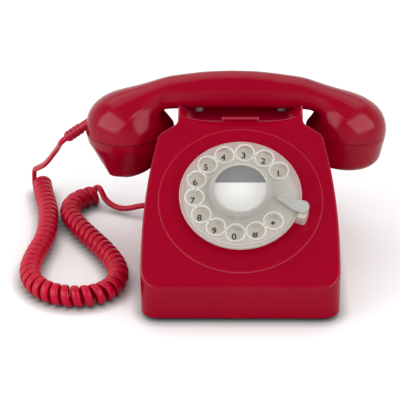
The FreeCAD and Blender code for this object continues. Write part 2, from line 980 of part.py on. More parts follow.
def polar(radius, angle):
    """A place on a circle, as sizes."""
    return radius * cosine(angle), radius * sine(angle)


step_top = size("step_height")
flange_top = step_top + size("flange_thickness")
number_top = flange_top + size("number_plate_thickness")
finger_low = number_top + size("finger_plate_gap")
finger_top = finger_low + size("finger_plate_thickness")
finger_rim = finger_top + size("rim_height")
label_seat = finger_top + size("label_rise")
shaft_r = size("shaft_diameter") / 2
shaft_bore = shaft_r + running
gear_centre = (size("gear_teeth") + size("pinion_teeth")) * size("gear_module") / 2
housing_low = -size("housing_depth")
bridge_top = -size("bridge_depth")
bridge_low = bridge_top - size("bridge_thickness")
pivot_r = size("pivot_diameter") / 2


def dial_fixed():
    """The dial pieces that stay with the case."""
    outer = size("housing_diameter") / 2
    inner = outer - size("housing_wall")
    flange = size("housing_flange") / 2
    floor = housing_low + size("housing_floor")
    cup = turned("housing_cup", [
        (shaft_bore, housing_low), (outer, housing_low), (outer, step_top), (flange, step_top),
        (flange, flange_top), (inner, flange_top), (inner, floor), (shaft_bore, floor)])
    lug_half = size("lug_width") / 2
    soft = lug_half / 2
    lug = prism("lug_plain", [
        (size("lug_inner"), -lug_half),
        (size("lug_outer") - soft, -lug_half),
        (size("lug_outer"), soft - lug_half, -soft),
        (size("lug_outer"), lug_half - soft),
        (size("lug_outer") - soft, lug_half, -soft),
        (size("lug_inner"), lug_half),
    ], "XY", step_top, step_top + size("lug_thickness"))
    turn(lug, -Z_AXIS, size("stop_angle") + 3)
    plate_r = size("number_plate_diameter") / 2
    clear = rod("lug_clear", size("finger_plate_diameter") / 2 + fit * 5, flange_top, finger_rim)
    pivot_hole = rod("housing_pivot_hole", pivot_r + running, housing_low - 1, floor + 1, 0, gear_centre)
    housing = join("housing_whole", [cup, less("lug", lug, [clear])])
    keep("dial_housing", on_dial(less("dial_housing", housing, [pivot_hole])))

    plate = ring("number_plate", size("number_bore") / 2, plate_r, flange_top, number_top)
    keep("number_plate", on_dial(plate))
    keep("dial_lock_ring", on_dial(ring(
        "dial_lock_ring", hole_radius + fit, hole_radius + size("lock_ring_width"),
        -wall - size("lock_ring_thickness"), -wall)))

    reach = size("stop_reach")
    half = size("stop_width") / 2
    tip = size("stop_inner")
    stop_low = finger_rim + size("stop_lift")
    blade = prism("stop_blade", [
        (tip, half * 0.35),
        (tip + (reach - tip) * 0.72, -half * 0.92),
        (reach, -half),
        (reach, half, -half * 1.0005),
        (tip + half * 0.12, half * 0.62),
    ], "XY", stop_low, stop_low + size("stop_thickness"))
    leg = rod("stop_leg", half / 2, step_top + size("lug_thickness"), stop_low + size("stop_thickness") / 2,
              reach + half * 0.3)
    stop = turn(join("stop_turned", [blade, leg]), -Z_AXIS, size("stop_angle"))
    keep("finger_stop", on_dial(group("finger_stop", [stop])))

    plate = rod("bridge_plate", size("bridge_diameter") / 2, bridge_low, bridge_top)
    posts = [plate]
    for number, angle in enumerate((30, 150, 270)):
        x, y = polar(size("post_circle") / 2, dim(angle))
        post = rod(f"bridge_post_{number}", size("post_diameter") / 2, bridge_top - 1, housing_low, x, y)
        posts.append(post)
    holes = [rod("bridge_bore", shaft_bore, bridge_low - 1, bridge_top + 1),
             rod("bridge_pivot_hole", pivot_r + running, bridge_low - 1, bridge_top + 1, 0, gear_centre)]
    keep("dial_bridge", on_dial(less("dial_bridge", join("bridge_whole", posts), holes)))

    coil_in = shaft_r + size("spring_strip")
    keep("return_spring", on_dial(spiral(
        "return_spring", coil_in.value, size("spring_pitch").value, size("spring_turns").value,
        size("spring_strip").value, floor.value + 1, size("spring_height").value)))
    cup_in = size("governor_diameter") / 2 + size("governor_gap")
    drum = turned("governor_drum", [
        (cup_in, bridge_top), (cup_in + size("governor_wall"), bridge_top),
        (cup_in + size("governor_wall"), -size("governor_depth")), (cup_in, -size("governor_depth"))])
    keep("governor_cup", on_dial(group("governor_cup", [move(drum, 0, gear_centre)])))

    cam_r = size("cam_diameter") / 2
    cam_top = -size("cam_depth")
    cam_low = cam_top - size("cam_thickness")
    block_x = -cam_r - size("contact_reach")
    block_half = size("contact_width") / 2
    keep("contact_block", on_dial(group("contact_block", [
        block("contact_body", (block_x - size("contact_length"), -block_half, bridge_top),
              (block_x, block_half, cam_top + size("leaf_thickness") * 2))])))
    leaves = []
    leaf_half = size("leaf_thickness") / 2
    for side, name in ((-1, "low"), (1, "high")):
        middle = size("leaf_spread") / 2 * side
        leaves.append(block(f"contact_leaf_{name}", (block_x, middle - leaf_half, cam_low),
                            (-cam_r - fit * 5, middle + leaf_half, cam_top)))
    keep("contact_leaves", on_dial(group("contact_leaves", leaves)))


def dial_moving():
    """The dial pieces that turn with the finger plate."""
    radius = size("finger_plate_diameter") / 2
    rim = size("plate_rim")
    soft = size("rim_chamfer")
    label_r = size("label_diameter") / 2
    edge_top = finger_top - size("edge_drop")
    body = turned("finger_disc", [
        (shaft_bore, finger_low), (radius, finger_low), (radius, edge_top - soft),
        (radius - soft, edge_top), (radius - rim + soft, edge_top), (radius - rim, finger_top),
        (label_r, finger_top), (label_r, label_seat), (shaft_bore, label_seat)])
    rims = [body]
    holes = []
    hole_r = size("hole_diameter") / 2
    for number in range(HOLES):
        x, y = polar(size("hole_circle") / 2, size("first_hole_angle") + size("hole_step_angle") * number)
        rims.append(rod(f"hole_rim_{number}", hole_r + size("hole_rim"), finger_low + size("rim_root"),
                        finger_rim - fit, x, y))
        holes.append(rod(f"finger_hole_{number}", hole_r, finger_low - 1, finger_rim + 1, x, y))
    keep("finger_plate", on_dial(less("finger_plate", join("finger_rims", rims), holes)))

    bezel_r = size("label_bezel") / 2
    card_top = label_seat + size("card_thickness")
    bezel_top = label_seat + size("bezel_height")
    soft = size("bezel_chamfer")
    lip = size("bezel_lip")
    keep("label_card", on_dial(rod_on_axis("label_card", label_r, label_seat, card_top)))
    cover = rod_on_axis("label_cover", label_r, card_top, card_top + size("cover_thickness"))
    keep("label_cover", on_dial(cover))
    keep("label_bezel", on_dial(turned("label_bezel", [
        (label_r + fit, finger_top), (bezel_r, finger_top), (bezel_r, bezel_top - soft),
        (bezel_r - soft, bezel_top), (label_r + fit + lip, bezel_top), (label_r + fit, bezel_top - lip)])))
    keep("dial_shaft", on_dial(rod_on_axis("dial_shaft", shaft_r, bridge_low, label_seat - fit)))
    keep("dial_hub", on_dial(ring("dial_hub", shaft_bore, size("hub_diameter") / 2, step_top, finger_low)))
    keep("main_gear", on_dial(gear("main_gear", size("gear_teeth"), 0.0, shaft_bore,
                                   -size("gear_depth") - size("gear_thickness"), size("gear_thickness"))))
    cam_r = size("cam_diameter") / 2
    cam_top = -size("cam_depth")
    cam_low = cam_top - size("cam_thickness")
    notches = [rod("cam_bore", shaft_bore, cam_low - 1, cam_top + 1)]
    for number in range(CAM_NOTCHES):
        x, y = polar(cam_r, dim(30 * number))
        notches.append(rod(f"cam_notch_{number}", cam_r / 8, cam_low - 1, cam_top + 1, x, y))
    disc = rod("cam_disc", cam_r, cam_low, cam_top)
    keep("impulse_cam", on_dial(less("impulse_cam", disc, notches)))


def governor_pieces():
    """The speed governor that the main gear drives."""
    thickness = size("gear_thickness")
    low = -size("gear_depth") - thickness
    shaft = size("pinion_shaft") / 2
    floor = housing_low + size("housing_floor")
    turn = math.pi / size("pinion_teeth").value
    teeth = gear("pinion_wheel", size("pinion_teeth"), turn, 0.0, low, thickness)
    stem = rod("pinion_stem", shaft, bridge_top + 0.5, housing_low - 0.5)
    pivots = rod("pinion_pivots", pivot_r, bridge_low + 0.5, floor - 0.5)
    pinion = move(join("pinion_whole", [teeth, stem, pivots]), 0, gear_centre)
    keep("governor_pinion", on_dial(group("governor_pinion", [pinion])))

    radius = size("governor_diameter") / 2
    top = -size("governor_depth")
    low = top - size("governor_height")
    disc = ring("rotor_disc", shaft + running, radius, top - 2, top)
    hub = ring("rotor_hub", shaft + running, radius * 0.4, low, top)
    parts = [disc, hub]
    for side, name in ((-1, "a"), (1, "b")):
        parts.append(rod(f"rotor_weight_{name}", radius * 0.24, low, top - 1, radius * 0.7 * side))
    rotor = move(join("rotor_whole", parts), 0, gear_centre)
    keep("governor_rotor", on_dial(group("governor_rotor", [rotor])))


bar_top = roof - size("bridge_bar_drop")
bar_low = bar_top - size("bridge_bar_height")
bracket_top = roof - size("bracket_drop")


def arc_between(start, way, end):
    """The arc that leaves a point along a direction and ends at another point."""
    chord = end - start
    unit = FreeCAD.Vector(chord).normalize()
    side = way - unit * way.dot(unit)
    if side.Length < 1e-7:
        return Part.makeLine(start, end)
    angle = math.atan2(side.Length, way.dot(unit))
    rise = chord.Length / 2 * math.tan(angle / 2)
    middle = start + chord * 0.5 + side.normalize() * rise
    return Part.Arc(start, middle, end).toShape()


def biarc(start, way_out, end, way_in):
    """Two arcs that join two points and keep the direction at both."""
    gap = end - start
    both = way_out + way_in
    spread = 2 * (1 - way_out.dot(way_in))
    lean = gap.dot(both)
    reach = (-lean + math.sqrt(lean * lean + spread * gap.dot(gap))) / spread
    middle = (start + end + (way_out - way_in) * reach) * 0.5
    way = FreeCAD.Vector(middle - (start + way_out * reach)).normalize()
    return [arc_between(start, way_out, middle), arc_between(middle, way, end)]


def tube(edges, radius):
    """A round tube along a path of lines and arcs."""
    path = Part.Wire(edges)
    first = edges[0]
    way = first.tangentAt(first.FirstParameter)
    spot = first.valueAt(first.FirstParameter)
    if first.Orientation == "Reversed":
        way = first.tangentAt(first.LastParameter) * -1
        spot = first.valueAt(first.LastParameter)
    section = Part.Wire(Part.makeCircle(radius, spot, way))
    shell = Part.BRepOffsetAPI.MakePipeShell(path)
    shell.add(section)
    shell.build()
    shell.makeSolid()
    return shell.shape()


def helix_points(axis, length, curls, radius, start_angle, per_turn):
    """Points and directions along a coil about a level or upright axis curve."""
    steps = int(round(curls * per_turn))
    spots = []
    for step in range(steps + 1):
        share = step / steps
        middle, ahead, left, up = axis(length * share)
        angle = start_angle + 2 * math.pi * curls * share
        out = left * math.cos(angle) + up * math.sin(angle)
        round_way = up * math.cos(angle) - left * math.sin(angle)
        way = round_way * (2 * math.pi * radius * curls / length) + ahead
        spots.append((middle + out * radius, way.normalize()))
    return spots


def coil_edges(spots):
    """The coil's path as biarcs from point to point."""
    edges = []
    for (start, way_out), (end, way_in) in zip(spots, spots[1:]):
        edges += biarc(start, way_out, end, way_in)
    return edges


def hook_pieces():
    """The switch that the handset's weight holds down."""
    y = handset_y
    radius = size("plunger_diameter") / 2
    half = size("plunger_spread") / 2
    reach = half - size("handset_shift")
    top = handle_low - reach * reach / (size("bottom_bow") * 2) - size("plunger_gap")
    for side, name in ((-1, "left"), (1, "right")):
        pin = turned(f"plunger_{name}", [
            (0, bar_top), (radius, bar_top), (radius, top - radius / 2),
            (radius / 2, top, -radius / 2), (0, top)])
        keep(f"plunger_{name}", move(pin, half * side, y))
    bar_half = size("bridge_bar_width") / 2
    keep("hook_bridge", block("hook_bridge", (-half - radius * 2, y - bar_half, bar_low),
                              (half + radius * 2, y + bar_half, bar_top)))
    sheet_metal = size("bracket_thickness")
    outer = size("cradle_width") / 2 - wall - fit * 5
    low_y = y - size("bracket_width") / 2
    high_y = y + size("bracket_width") / 2
    shelf = bracket_top - sheet_metal
    inner = outer - sheet_metal
    keep("hook_bracket", join("hook_bracket", [
        block("bracket_shelf", (-outer, low_y, shelf), (outer, high_y, bracket_top)),
        block("bracket_leg_left", (-outer, low_y, shelf), (-inner, high_y, roof)),
        block("bracket_leg_right", (inner, low_y, shelf), (outer, high_y, roof)),
    ]))
    switch_top = bar_low - size("switch_room")
    switch_end = half / 2 + size("switch_length")
    button_x = (half / 2 + switch_end) / 2
    keep("hook_switch", join("hook_switch", [
        block("switch_body", (half / 2, y - bar_half, bracket_top), (switch_end, y + bar_half, switch_top)),
        rod("switch_button", radius / 2, switch_top - wall / 3, bar_low - fit * 3, button_x, y),
    ]))
    wire = size("hook_wire").value / 2
    foot = FreeCAD.Vector(0, y.value, bracket_top.value + wire)
    rise = bar_low.value - bracket_top.value - 2 * wire

    def axis(run):
        return foot + Z_AXIS * run, Z_AXIS, X_AXIS, Y_AXIS

    coil_r = size("hook_coil_diameter").value / 2 - wire
    spots = helix_points(axis, rise, size("hook_turns").value, coil_r, 0.0, 4)
    keep("hook_spring", feature("hook_spring", tube(coil_edges(spots), wire)))


def ringer_pieces():
    """The bell: two gongs, the coil and the clapper between them."""
    radius = size("gong_diameter") / 2
    metal = size("gong_metal")
    rim = gong_rim
    top = rim + size("gong_height")
    stud = size("gong_stud") / 2
    collar = size("gong_collar") / 2
    posts = []
    nuts = []
    for side, name in ((-1, "left"), (1, "right")):
        x = size("gong_spread") / 2 * side
        cup = turned(f"gong_{name}", [
            (radius - metal, rim), (radius, rim), (radius, rim + radius * 0.3),
            (radius * 0.6, top - metal * 0.4, -radius * 0.62), (stud + fit, top),
            (stud + fit, top - metal), (radius * 0.6 - metal * 0.4, top - metal * 1.4),
            (radius - metal, rim + radius * 0.3, radius * 0.62 - metal)])
        keep(f"gong_{name}", move(cup, x, gong_y))
        posts.append(move(turned(f"gong_post_{name}", [
            (0, base_top), (collar, base_top), (collar, top - metal * 1.4), (stud, top - metal * 1.4),
            (stud, top + stud), (0, top + stud)]), x, gong_y))
        nuts.append(move(ring(f"gong_nut_{name}", stud + running, stud * 1.8, top, top + stud * 0.8),
                         x, gong_y))
    keep("gong_posts", group("gong_posts", posts))
    keep("gong_nuts", group("gong_nuts", nuts))

    half = size("ringer_width") / 2
    back = clapper_y - size("ringer_depth")
    metal = size("ringer_sheet")
    pivot_y = clapper_y
    pin_r = size("pivot_pin") / 2
    front = pivot_y + pin_r * 3
    height = clapper_z
    high = size("ringer_top")
    core = size("core_diameter") / 2
    core_end = back + metal + size("coil_length") + 1.5
    frame = [block("ringer_foot", (-half, back, base_top), (half, front, base_top + metal)),
             block("ringer_wall", (-half, back, base_top), (half, back + metal, high)),
             block("ringer_roof", (-half, back, high - metal), (half, front, high))]
    coils = []
    for side, name in ((-1, "left"), (1, "right")):
        x = size("coil_spread") / 2 * side
        root = back + metal / 2
        frame.append(bar(f"ringer_core_{name}", core, Y_AXIS, (x, root, height), core_end - root))
        winding = bar(
            f"ringer_coil_body_{name}", size("coil_diameter") / 2, Y_AXIS, (x, back + metal, height),
            size("coil_length"))
        bore = bar(
            f"ringer_coil_bore_{name}", core + running, Y_AXIS, (x, back, height), size("coil_length") * 2)
        coils.append(less(f"ringer_coil_{name}", winding, [bore]))
    pin_hole = rod("ringer_pin_hole", pin_r + running, base_top - 1, high + 1, 0, pivot_y)
    keep("ringer_frame", less("ringer_frame", join("ringer_frame_whole", frame), [pin_hole]))
    keep("ringer_coils", group("ringer_coils", coils))
    keep("clapper_pin", rod("clapper_pin", pin_r, base_top + fit, high - fit, 0, pivot_y))
    ball = doc.addObject("Part::Sphere", "clapper_sphere")
    bind(ball, "Radius", size("clapper_ball") / 2)
    move(ball, 0, gong_y, height)
    ball_low = gong_y - size("clapper_ball") / 4
    stem_r = pin_r * 0.6
    ball_hole = bar("ball_hole", stem_r + running, Y_AXIS, (0, pivot_y, height), ball_low - pivot_y)
    keep("clapper_ball", less("clapper_ball", ball, [ball_hole]))
    arm_half = size("coil_spread") / 2 + core / 2
    armature = block(
        "armature", (-arm_half, core_end + 1, height - core), (arm_half, pivot_y + pin_r * 2, height + core))
    stem = bar("clapper_stem", stem_r, Y_AXIS, (0, pivot_y + pin_r, height), ball_low - pivot_y - pin_r)
    hole = rod("armature_hole", pin_r + running, base_top, high, 0, pivot_y)
    keep("clapper_arm", less("clapper_arm", join("clapper_arm_whole", [armature, stem]), [hole]))


def board_pieces():
    """The circuit board on its pillars."""
    half = size("board_width") / 2
    front = size("board_setback") - half_depth
    rear = front + size("board_length")
    low = base_top + size("standoff_height")
    high = low + size("board_thickness")
    inset = size("board_inset")
    shank = size("screw_diameter") / 2 * 0.8
    places = [(x, y) for x in (inset - half, half - inset) for y in (front + inset, rear - inset)]
    pillars = []
    screws = []
    holes = []
    for number, (x, y) in enumerate(places):
        pillars.append(move(turned(f"standoff_{number}", [
            (shank + running, base_top), (size("standoff_diameter") / 2, base_top),
            (size("standoff_diameter") / 2, low), (shank + running, low)]), x, y))
        holes.append(rod(f"board_hole_{number}", shank + running, low - 1, high + 1, x, y))
        screws.append(move(turned(f"board_screw_{number}", [
            (0, base_top + fit), (shank, base_top + fit), (shank, high), (shank * 2, high),
            (shank * 2, high + shank), (0, high + shank)]), x, y))
    board = block("board_blank", (-half, front, low), (half, rear, high))
    keep("circuit_board", less("circuit_board", board, holes))
    keep("board_standoffs", group("board_standoffs", pillars))
    keep("board_screws", group("board_screws", screws))
    boxes = ((-0.55, 0.42, 16.0, 14.0, 12.0), (-0.1, 0.3, 9.0, 7.0, 4.0), (0.25, 0.5, 12.0, 8.0, 5.0),
             (-0.1, 0.62, 14.0, 7.0, 3.4), (0.6, 0.35, 10.0, 10.0, 7.0))
    parts = []
    for number, (across, deep, width, length, height) in enumerate(boxes):
        x = half * across
        y = front + size("board_length") * deep
        parts.append(block(f"component_{number}", (x - width / 2, y - length / 2, high),
                           (x + width / 2, y + length / 2, high + height)))
    y = front + size("board_length") * 0.12
    for number, across in enumerate((-0.25, 0.05, 0.4)):
        parts.append(rod(f"capacitor_{number}", 3.2, high, high + 9, half * across, y))
    keep("board_components", group("board_components", parts))


def socket_pieces():
    """The two sockets inside the case and the plug in one of them."""
    half = size("socket_width") / 2
    top = base_top + size("socket_height")
    y = socket_y
    slot_y = size("plug_width") / 2 + fit
    slot_z = size("plug_height") / 2 + fit
    face = wall + half * wall_run + fit * 3 - side_wall_x
    length = size("socket_length")
    body = block("handset_socket_body", (face, y - half, base_top), (face + length, y + half, top))
    mouth = block("handset_socket_mouth", (face - 1, y - slot_y, plug_z - slot_z),
                  (face + length - wall, y + slot_y, plug_z + slot_z))
    keep("handset_socket", less("handset_socket", body, [mouth]))
    stand = -side_wall_x - size("plug_stand")
    keep("cord_plug", block("cord_plug", (stand, y - slot_y + fit, plug_z - slot_z + fit),
                            (stand + size("plug_length"), y + slot_y - fit, plug_z + slot_z - fit)))
    x = size("line_socket_x")
    rear = half_depth - wall - fit * 3 - size("rear_rake")
    body = block("line_socket_body", (x - half, rear - length, base_top), (x + half, rear, top))
    mouth = block("line_socket_mouth", (x - slot_y, rear - length + wall, plug_z - slot_z),
                  (x + slot_y, rear + 1, plug_z + slot_z))
    keep("line_socket", less("line_socket", body, [mouth]))


handset_x = size("handset_shift")
receiver_r = size("receiver_diameter") / 2
receiver_x = handset_x + size("receiver_offset")
receiver_z = handset_height - size("receiver_drop")
mouth_r = size("mouth_diameter") / 2
mouth_x = handset_x - size("mouth_offset")
mouth_z = handset_height - size("mouth_drop")
grommet_x = mouth_x - mouth_r + size("shell")
grommet_z = mouth_z + size("grommet_lift")

# Upright sections of the handle: place as a share of its reach, and crown as a share of its depth.
HANDLE_PLACES = (
    (-0.59, 0.22), (-0.46, 0.23), (-0.3, 0.26), (0.0, 0.29), (0.3, 0.26), (0.5, 0.23), (0.67, 0.22))

# Sections that fan out from the handle to the parting plane of a bulb, from its plane up. Each has
# the inner and the outer point from the bulb's middle, as shares of its radius and its height,
# then its half width as a share of the radius, and its low corner and its crown as shares of its length.
MOUTH_FAN = (
    (-0.87, 0.214, 0.94, 0.357, 0.955, 0.488, 0.488),
    (-0.77, 0.357, 0.74, 0.679, 0.86, 0.470, 0.475),
    (-0.72, 0.464, 0.455, 0.886, 0.74, 0.450, 0.45),
    (-0.71, 0.536, 0.093, 1.043, 0.62, 0.430, 0.42),
    (-0.735, 0.585, -0.328, 1.20, 0.52, 0.430, 0.36),
)
RECEIVER_FAN = (
    (-0.87, 0.272, 0.94, 0.352, 0.96, 0.488, 0.488),
    (-0.785, 0.432, 0.69, 0.712, 0.87, 0.470, 0.475),
    (-0.75, 0.544, 0.38, 0.936, 0.755, 0.450, 0.45),
    (-0.75, 0.62, 0.03, 1.108, 0.635, 0.430, 0.42),
    (-0.785, 0.672, -0.37, 1.272, 0.55, 0.430, 0.36),
)


def soft_section(name, low, top, half, soft, crown, plane, side):
    """A section with a bowed top and soft low corners, drawn upright, or lying with its top on one side."""
    flat = half * 0.02
    reach = half - flat
    bow = (reach * reach + crown * crown) / (crown * 2)
    points = [
        (soft - half, low, -soft),
        (half - soft, low),
        (half, low + soft, -soft),
        (half, top - crown),
        (flat, top, -bow),
        (-flat, top),
        (-half, top - crown, -bow),
        (-half, low + soft),
    ]
    if plane == "XY":
        points = [
            (point[1] * side, point[0]) + tuple(-radius * side for radius in point[2:]) for point in points]
    return outline(name, points, plane)


def handle_section(name, place, crown):
    """One upright cross-section of the handle."""
    depth = size("handle_depth")
    x = size("handle_reach") * place
    top = size("handle_top") - x * x / (size("top_bow") * 2)
    low = -size("handle_bottom") - x * x / (size("bottom_bow") * 2)
    sketch = soft_section(name, low, top, depth / 2, depth * 0.28, depth * crown, "YZ", 1)
    return move(sketch, handset_x + x, handset_y, handset_height)


def fan_section(name, side, middle, radius, height, share):
    """One leaning section between the handle and a bulb's parting plane."""
    in_x, in_z, out_x, out_z, width, corner, crown = share
    run = radius * out_x - radius * in_x
    rise = height * out_z - height * in_z
    length = root(run * run + rise * rise)
    sketch = soft_section(name, dim(0.0), length, radius * width, length * corner, length * crown, "XY", side)
    turn(sketch, -Y_AXIS * side, lean_of(rise, run))
    return move(sketch, middle[0] + radius * in_x * side, handset_y, middle[1] + height * in_z)


def bulb_fan(name, side, middle, radius, height, tilt, shares):
    """The sections of one bulb, from its parting plane up to the handle."""
    drop = radius * sine(tilt) / height
    flat = cosine(tilt)
    rim = (-flat, drop, flat, -drop, 1.0, 0.496, 0.49)
    return [fan_section(f"{name}_fan_{number}", side, middle, radius, height, share)
            for number, share in enumerate((rim,) + shares)]


def dome(name, radius, height):
    """Half of a bulb above its parting plane, as two arcs turned about the axis."""
    bend = root(dim(0.5))
    x = radius * bend
    z = height * bend
    low_arc = ((radius - x) * (radius - x) + z * z) / ((radius - x) * 2)
    high_arc = (x * x + (height - z) * (height - z)) / ((height - z) * 2)
    return turned(name, [(0, 0), (radius, 0), (x, z, -low_arc), (0, height, -high_arc)])


def at_ear(thing):
    """Seat an object on the ear bulb's axis, with Z = 0 on its parting plane."""
    turn(thing, Y_AXIS, size("receiver_tilt_angle"))
    return move(thing, receiver_x, handset_y, receiver_z)


def at_mouth(thing):
    """Seat an object on the mouth bulb's axis, with Z = 0 on its parting plane."""
    turn(thing, -Y_AXIS, size("mouth_tilt_angle"))
    return move(thing, mouth_x, handset_y, mouth_z)


def on_grommet(thing):
    """Seat an object on the axis of the cord outlet, with Z along the cord."""
    turn(thing, -Y_AXIS, size("grommet_dip_angle") + 90)
    return move(thing, grommet_x, handset_y, grommet_z)


def ear_cap_shell():
    """The cap under the ear bulb: a round cup with a soft edge."""
    skin = size("shell")
    skirt = size("cap_skirt")
    groove = size("parting_groove")
    height = size("ear_cap_height")
    crown = size("ear_cap_crown")
    face_r = size("ear_cap_face") / 2
    waist_r = size("ear_cap_waist") / 2
    reach = waist_r - face_r
    bow = (reach * reach + crown * crown) / (crown * 2)
    return turned("ear_cap_shell", [
        (0, -height),
        (face_r, -height),
        (waist_r, crown - height, -bow),
        (receiver_r, -skirt),
        (receiver_r, -groove),
        (receiver_r - groove, 0),
        (receiver_r - skin, 0),
        (receiver_r - skin, -skirt),
        (waist_r - skin, crown - height),
        (face_r - skin / 2, skin - height),
        (0, skin - height),
    ])


def mouth_ring(name, radius, depth, angle, out):
    """A circle of the mouth cap: how deep its middle lies, how it tilts and how far it leaves its plane."""
    circle = doc.addObject("Part::Circle", name)
    bind(circle, "Radius", radius)
    turn(circle, -Y_AXIS, angle)
    shift = size("mouth_cap_shift") * depth / size("mouth_cap_height")
    return move(circle, mouth_x + shift + sine(angle) * out, handset_y, mouth_z - depth - cosine(angle) * out)


def mouth_form(name, inset):
    """The leaning cone of the mouth cap, or its hollow when it is drawn in."""
    tilt = size("mouth_tilt_angle")
    lean = size("mouth_face_angle")
    groove = size("parting_groove")
    waist_depth = size("mouth_cap_height")
    skirt_r = size("mouth_skirt_diameter") / 2 - inset
    waist_r = size("mouth_cap_waist") / 2 - inset
    face_r = size("mouth_cap_face") / 2 - inset
    if inset.value == 0.0:
        rings = [mouth_ring(name + "_edge", mouth_r - groove, dim(0.0), tilt, dim(0.0)),
                 mouth_ring(name + "_rim", mouth_r, dim(0.0), tilt, groove)]
    else:
        rings = [mouth_ring(name + "_edge", mouth_r - inset, dim(0.0), tilt, -inset)]
    rings += [
        mouth_ring(name + "_skirt", skirt_r, size("mouth_skirt_depth"), tilt, dim(0.0)),
        mouth_ring(name + "_waist", waist_r, waist_depth, lean, -inset / 2),
        mouth_ring(name + "_face", face_r, waist_depth, lean, size("mouth_cap_crown") - inset),
    ]
    form = doc.addObject("Part::Loft", name)
    form.Sections = rings
    form.Solid = True
    form.Ruled = True
    return form


def at_mouth_face(thing):
    """Seat an object on the mouth cap's face, with Z = 0 on it."""
    lean = size("mouth_face_angle")
    out = size("mouth_cap_crown")
    turn(thing, -Y_AXIS, lean)
    return move(thing, mouth_x + size("mouth_cap_shift") + sine(lean) * out, handset_y,
                mouth_z - size("mouth_cap_height") - cosine(lean) * out)


def sound_holes(name, circle, low, seat):
    """A ring of small holes through a cap's face."""
    holes = []
    for number in range(SOUND_HOLES):
        x, y = polar(circle, dim(60 * number))
        holes.append(seat(move(rod_on_axis(f"{name}_hole_{number}", size("shell") / 2, low - size("shell"),
                                           low + size("shell") * 2), x, y)))
    return holes


def capsule(name, radius, low):
    """A round capsule that fits inside a cap."""
    return turned(name, [
        (0, -low), (radius, -low), (radius, size("capsule_height") * 0.7 - low),
        (radius * 0.8, size("capsule_height") - low), (0, size("capsule_height") - low)])


def handset_pieces():
    """The handset: one moulded body, two caps and what is inside them."""
    skin = size("shell")
    mouth_fan = bulb_fan("mouth", -1, (mouth_x, mouth_z), mouth_r, size("mouth_dome"),
                         size("mouth_tilt_angle"), MOUTH_FAN)
    receiver_fan = bulb_fan("receiver", 1, (receiver_x, receiver_z), receiver_r, size("receiver_dome"),
                            size("receiver_tilt_angle"), RECEIVER_FAN)
    upright = [
        handle_section(f"handle_section_{number}", *place) for number, place in enumerate(HANDLE_PLACES)]
    whole = doc.addObject("Part::Loft", "handset_whole")
    whole.Sections = mouth_fan + upright + receiver_fan[::-1]
    whole.Solid = True
    whole.Ruled = False
    bore_z = handset_height - skin * 1.3
    bore_half = size("handle_reach") * 0.61
    hollow = size("hollow_share")
    weight_r = size("weight_diameter") / 2
    cuts = [
        at_ear(dome("ear_hollow", receiver_r * hollow, size("receiver_dome") * hollow)),
        at_mouth(dome("mouth_hollow", mouth_r * hollow, size("mouth_dome") * hollow)),
        bar("handle_bore", weight_r + fit * 3, X_AXIS,
            (handset_x - bore_half, handset_y, bore_z), bore_half * 2),
        on_grommet(rod_on_axis(
            "grommet_hole", size("grommet_diameter") / 2 + fit, -size("grommet_root") - skin,
            size("grommet_length") / 2)),
    ]
    for side, name in ((-1, "mouth"), (1, "ear")):
        cuts.append(bar(f"{name}_channel", weight_r * 0.5, FreeCAD.Vector(side * 38, 0, -16),
                        (handset_x + (bore_half - weight_r) * side, handset_y, bore_z), bore_half * 0.6))
    keep("handset_body", less("handset_body", whole, cuts))

    ear_shell = at_ear(ear_cap_shell())
    ear_holes = sound_holes("ear_cap", size("ear_cap_face") / 4, -size("ear_cap_height"), at_ear)
    keep("ear_cap", less("ear_cap", ear_shell, ear_holes))
    mouth_outer = mouth_form("mouth_outer", dim(0.0))
    mouth_shell = less("mouth_cap_shell", mouth_outer, [mouth_form("mouth_inner", skin)])
    mouth_holes = sound_holes("mouth_cap", size("mouth_cap_face") / 4, dim(0.0), at_mouth_face)
    notch = on_grommet(rod_on_axis(
        "mouth_cap_notch", size("grommet_diameter") / 2 + fit, -size("grommet_root"),
        size("grommet_length") / 3))
    keep("mouth_cap", less("mouth_cap", mouth_shell, mouth_holes + [notch]))
    keep("receiver_capsule", at_ear(capsule(
        "receiver_capsule", size("ear_cap_waist") / 2 - skin - size("capsule_gap") * 2,
        size("ear_cap_height") - size("ear_cap_crown"))))
    keep("transmitter_capsule", at_mouth(capsule(
        "transmitter_capsule", size("transmitter_diameter") / 2, size("transmitter_depth"))))
    weight_x = handset_x - size("weight_length") / 2
    keep("handset_weight", bar(
        "handset_weight", weight_r, X_AXIS, (weight_x, handset_y, bore_z), size("weight_length")))
    length = size("grommet_length")
    sleeve = [rod_on_axis("grommet_sleeve", size("grommet_diameter") / 2, -size("grommet_root"), length)]
    for number in range(GROMMET_RIBS):
        start = length * (0.38 + 0.155 * number)
        end = start + length * 0.085
        sleeve.append(rod_on_axis(f"grommet_rib_{number}", size("grommet_rib") / 2, start, end))
    keep("cord_grommet", on_grommet(join("cord_grommet", sleeve)))


# The middle line of the curly cord seen from above: the poles of a curve that touches only the ends.
CORD_POLES = (
    (-158.5, 100.0), (-155.0, 80.0), (-149.0, 56.0), (-146.5, 30.0), (-147.0, 5.0), (-152.5, -20.0),
    (-154.0, -47.0), (-143.0, -69.0), (-122.0, -79.0), (-100.0, -76.0), (-87.5, -57.0), (-89.5, -35.0),
    (-100.0, -12.0), (-112.0, 8.0), (-123.0, 26.0), (-131.5, 44.0), (-132.0, 61.0), (-124.0, 74.0),
    (-110.5, 79.5),
)


def cord_axis():
    """The curve of the curly cord's middle line."""
    height = size("curl_diameter").value / 2 + 0.1
    poles = [FreeCAD.Vector(x, y, height) for x, y in CORD_POLES]
    spans = len(poles) - 2
    curve = Part.BSplineCurve()
    curve.buildFromPolesMultsKnots(poles, [3] + [1] * (spans - 1) + [3], list(range(spans + 1)), False, 2)
    return curve


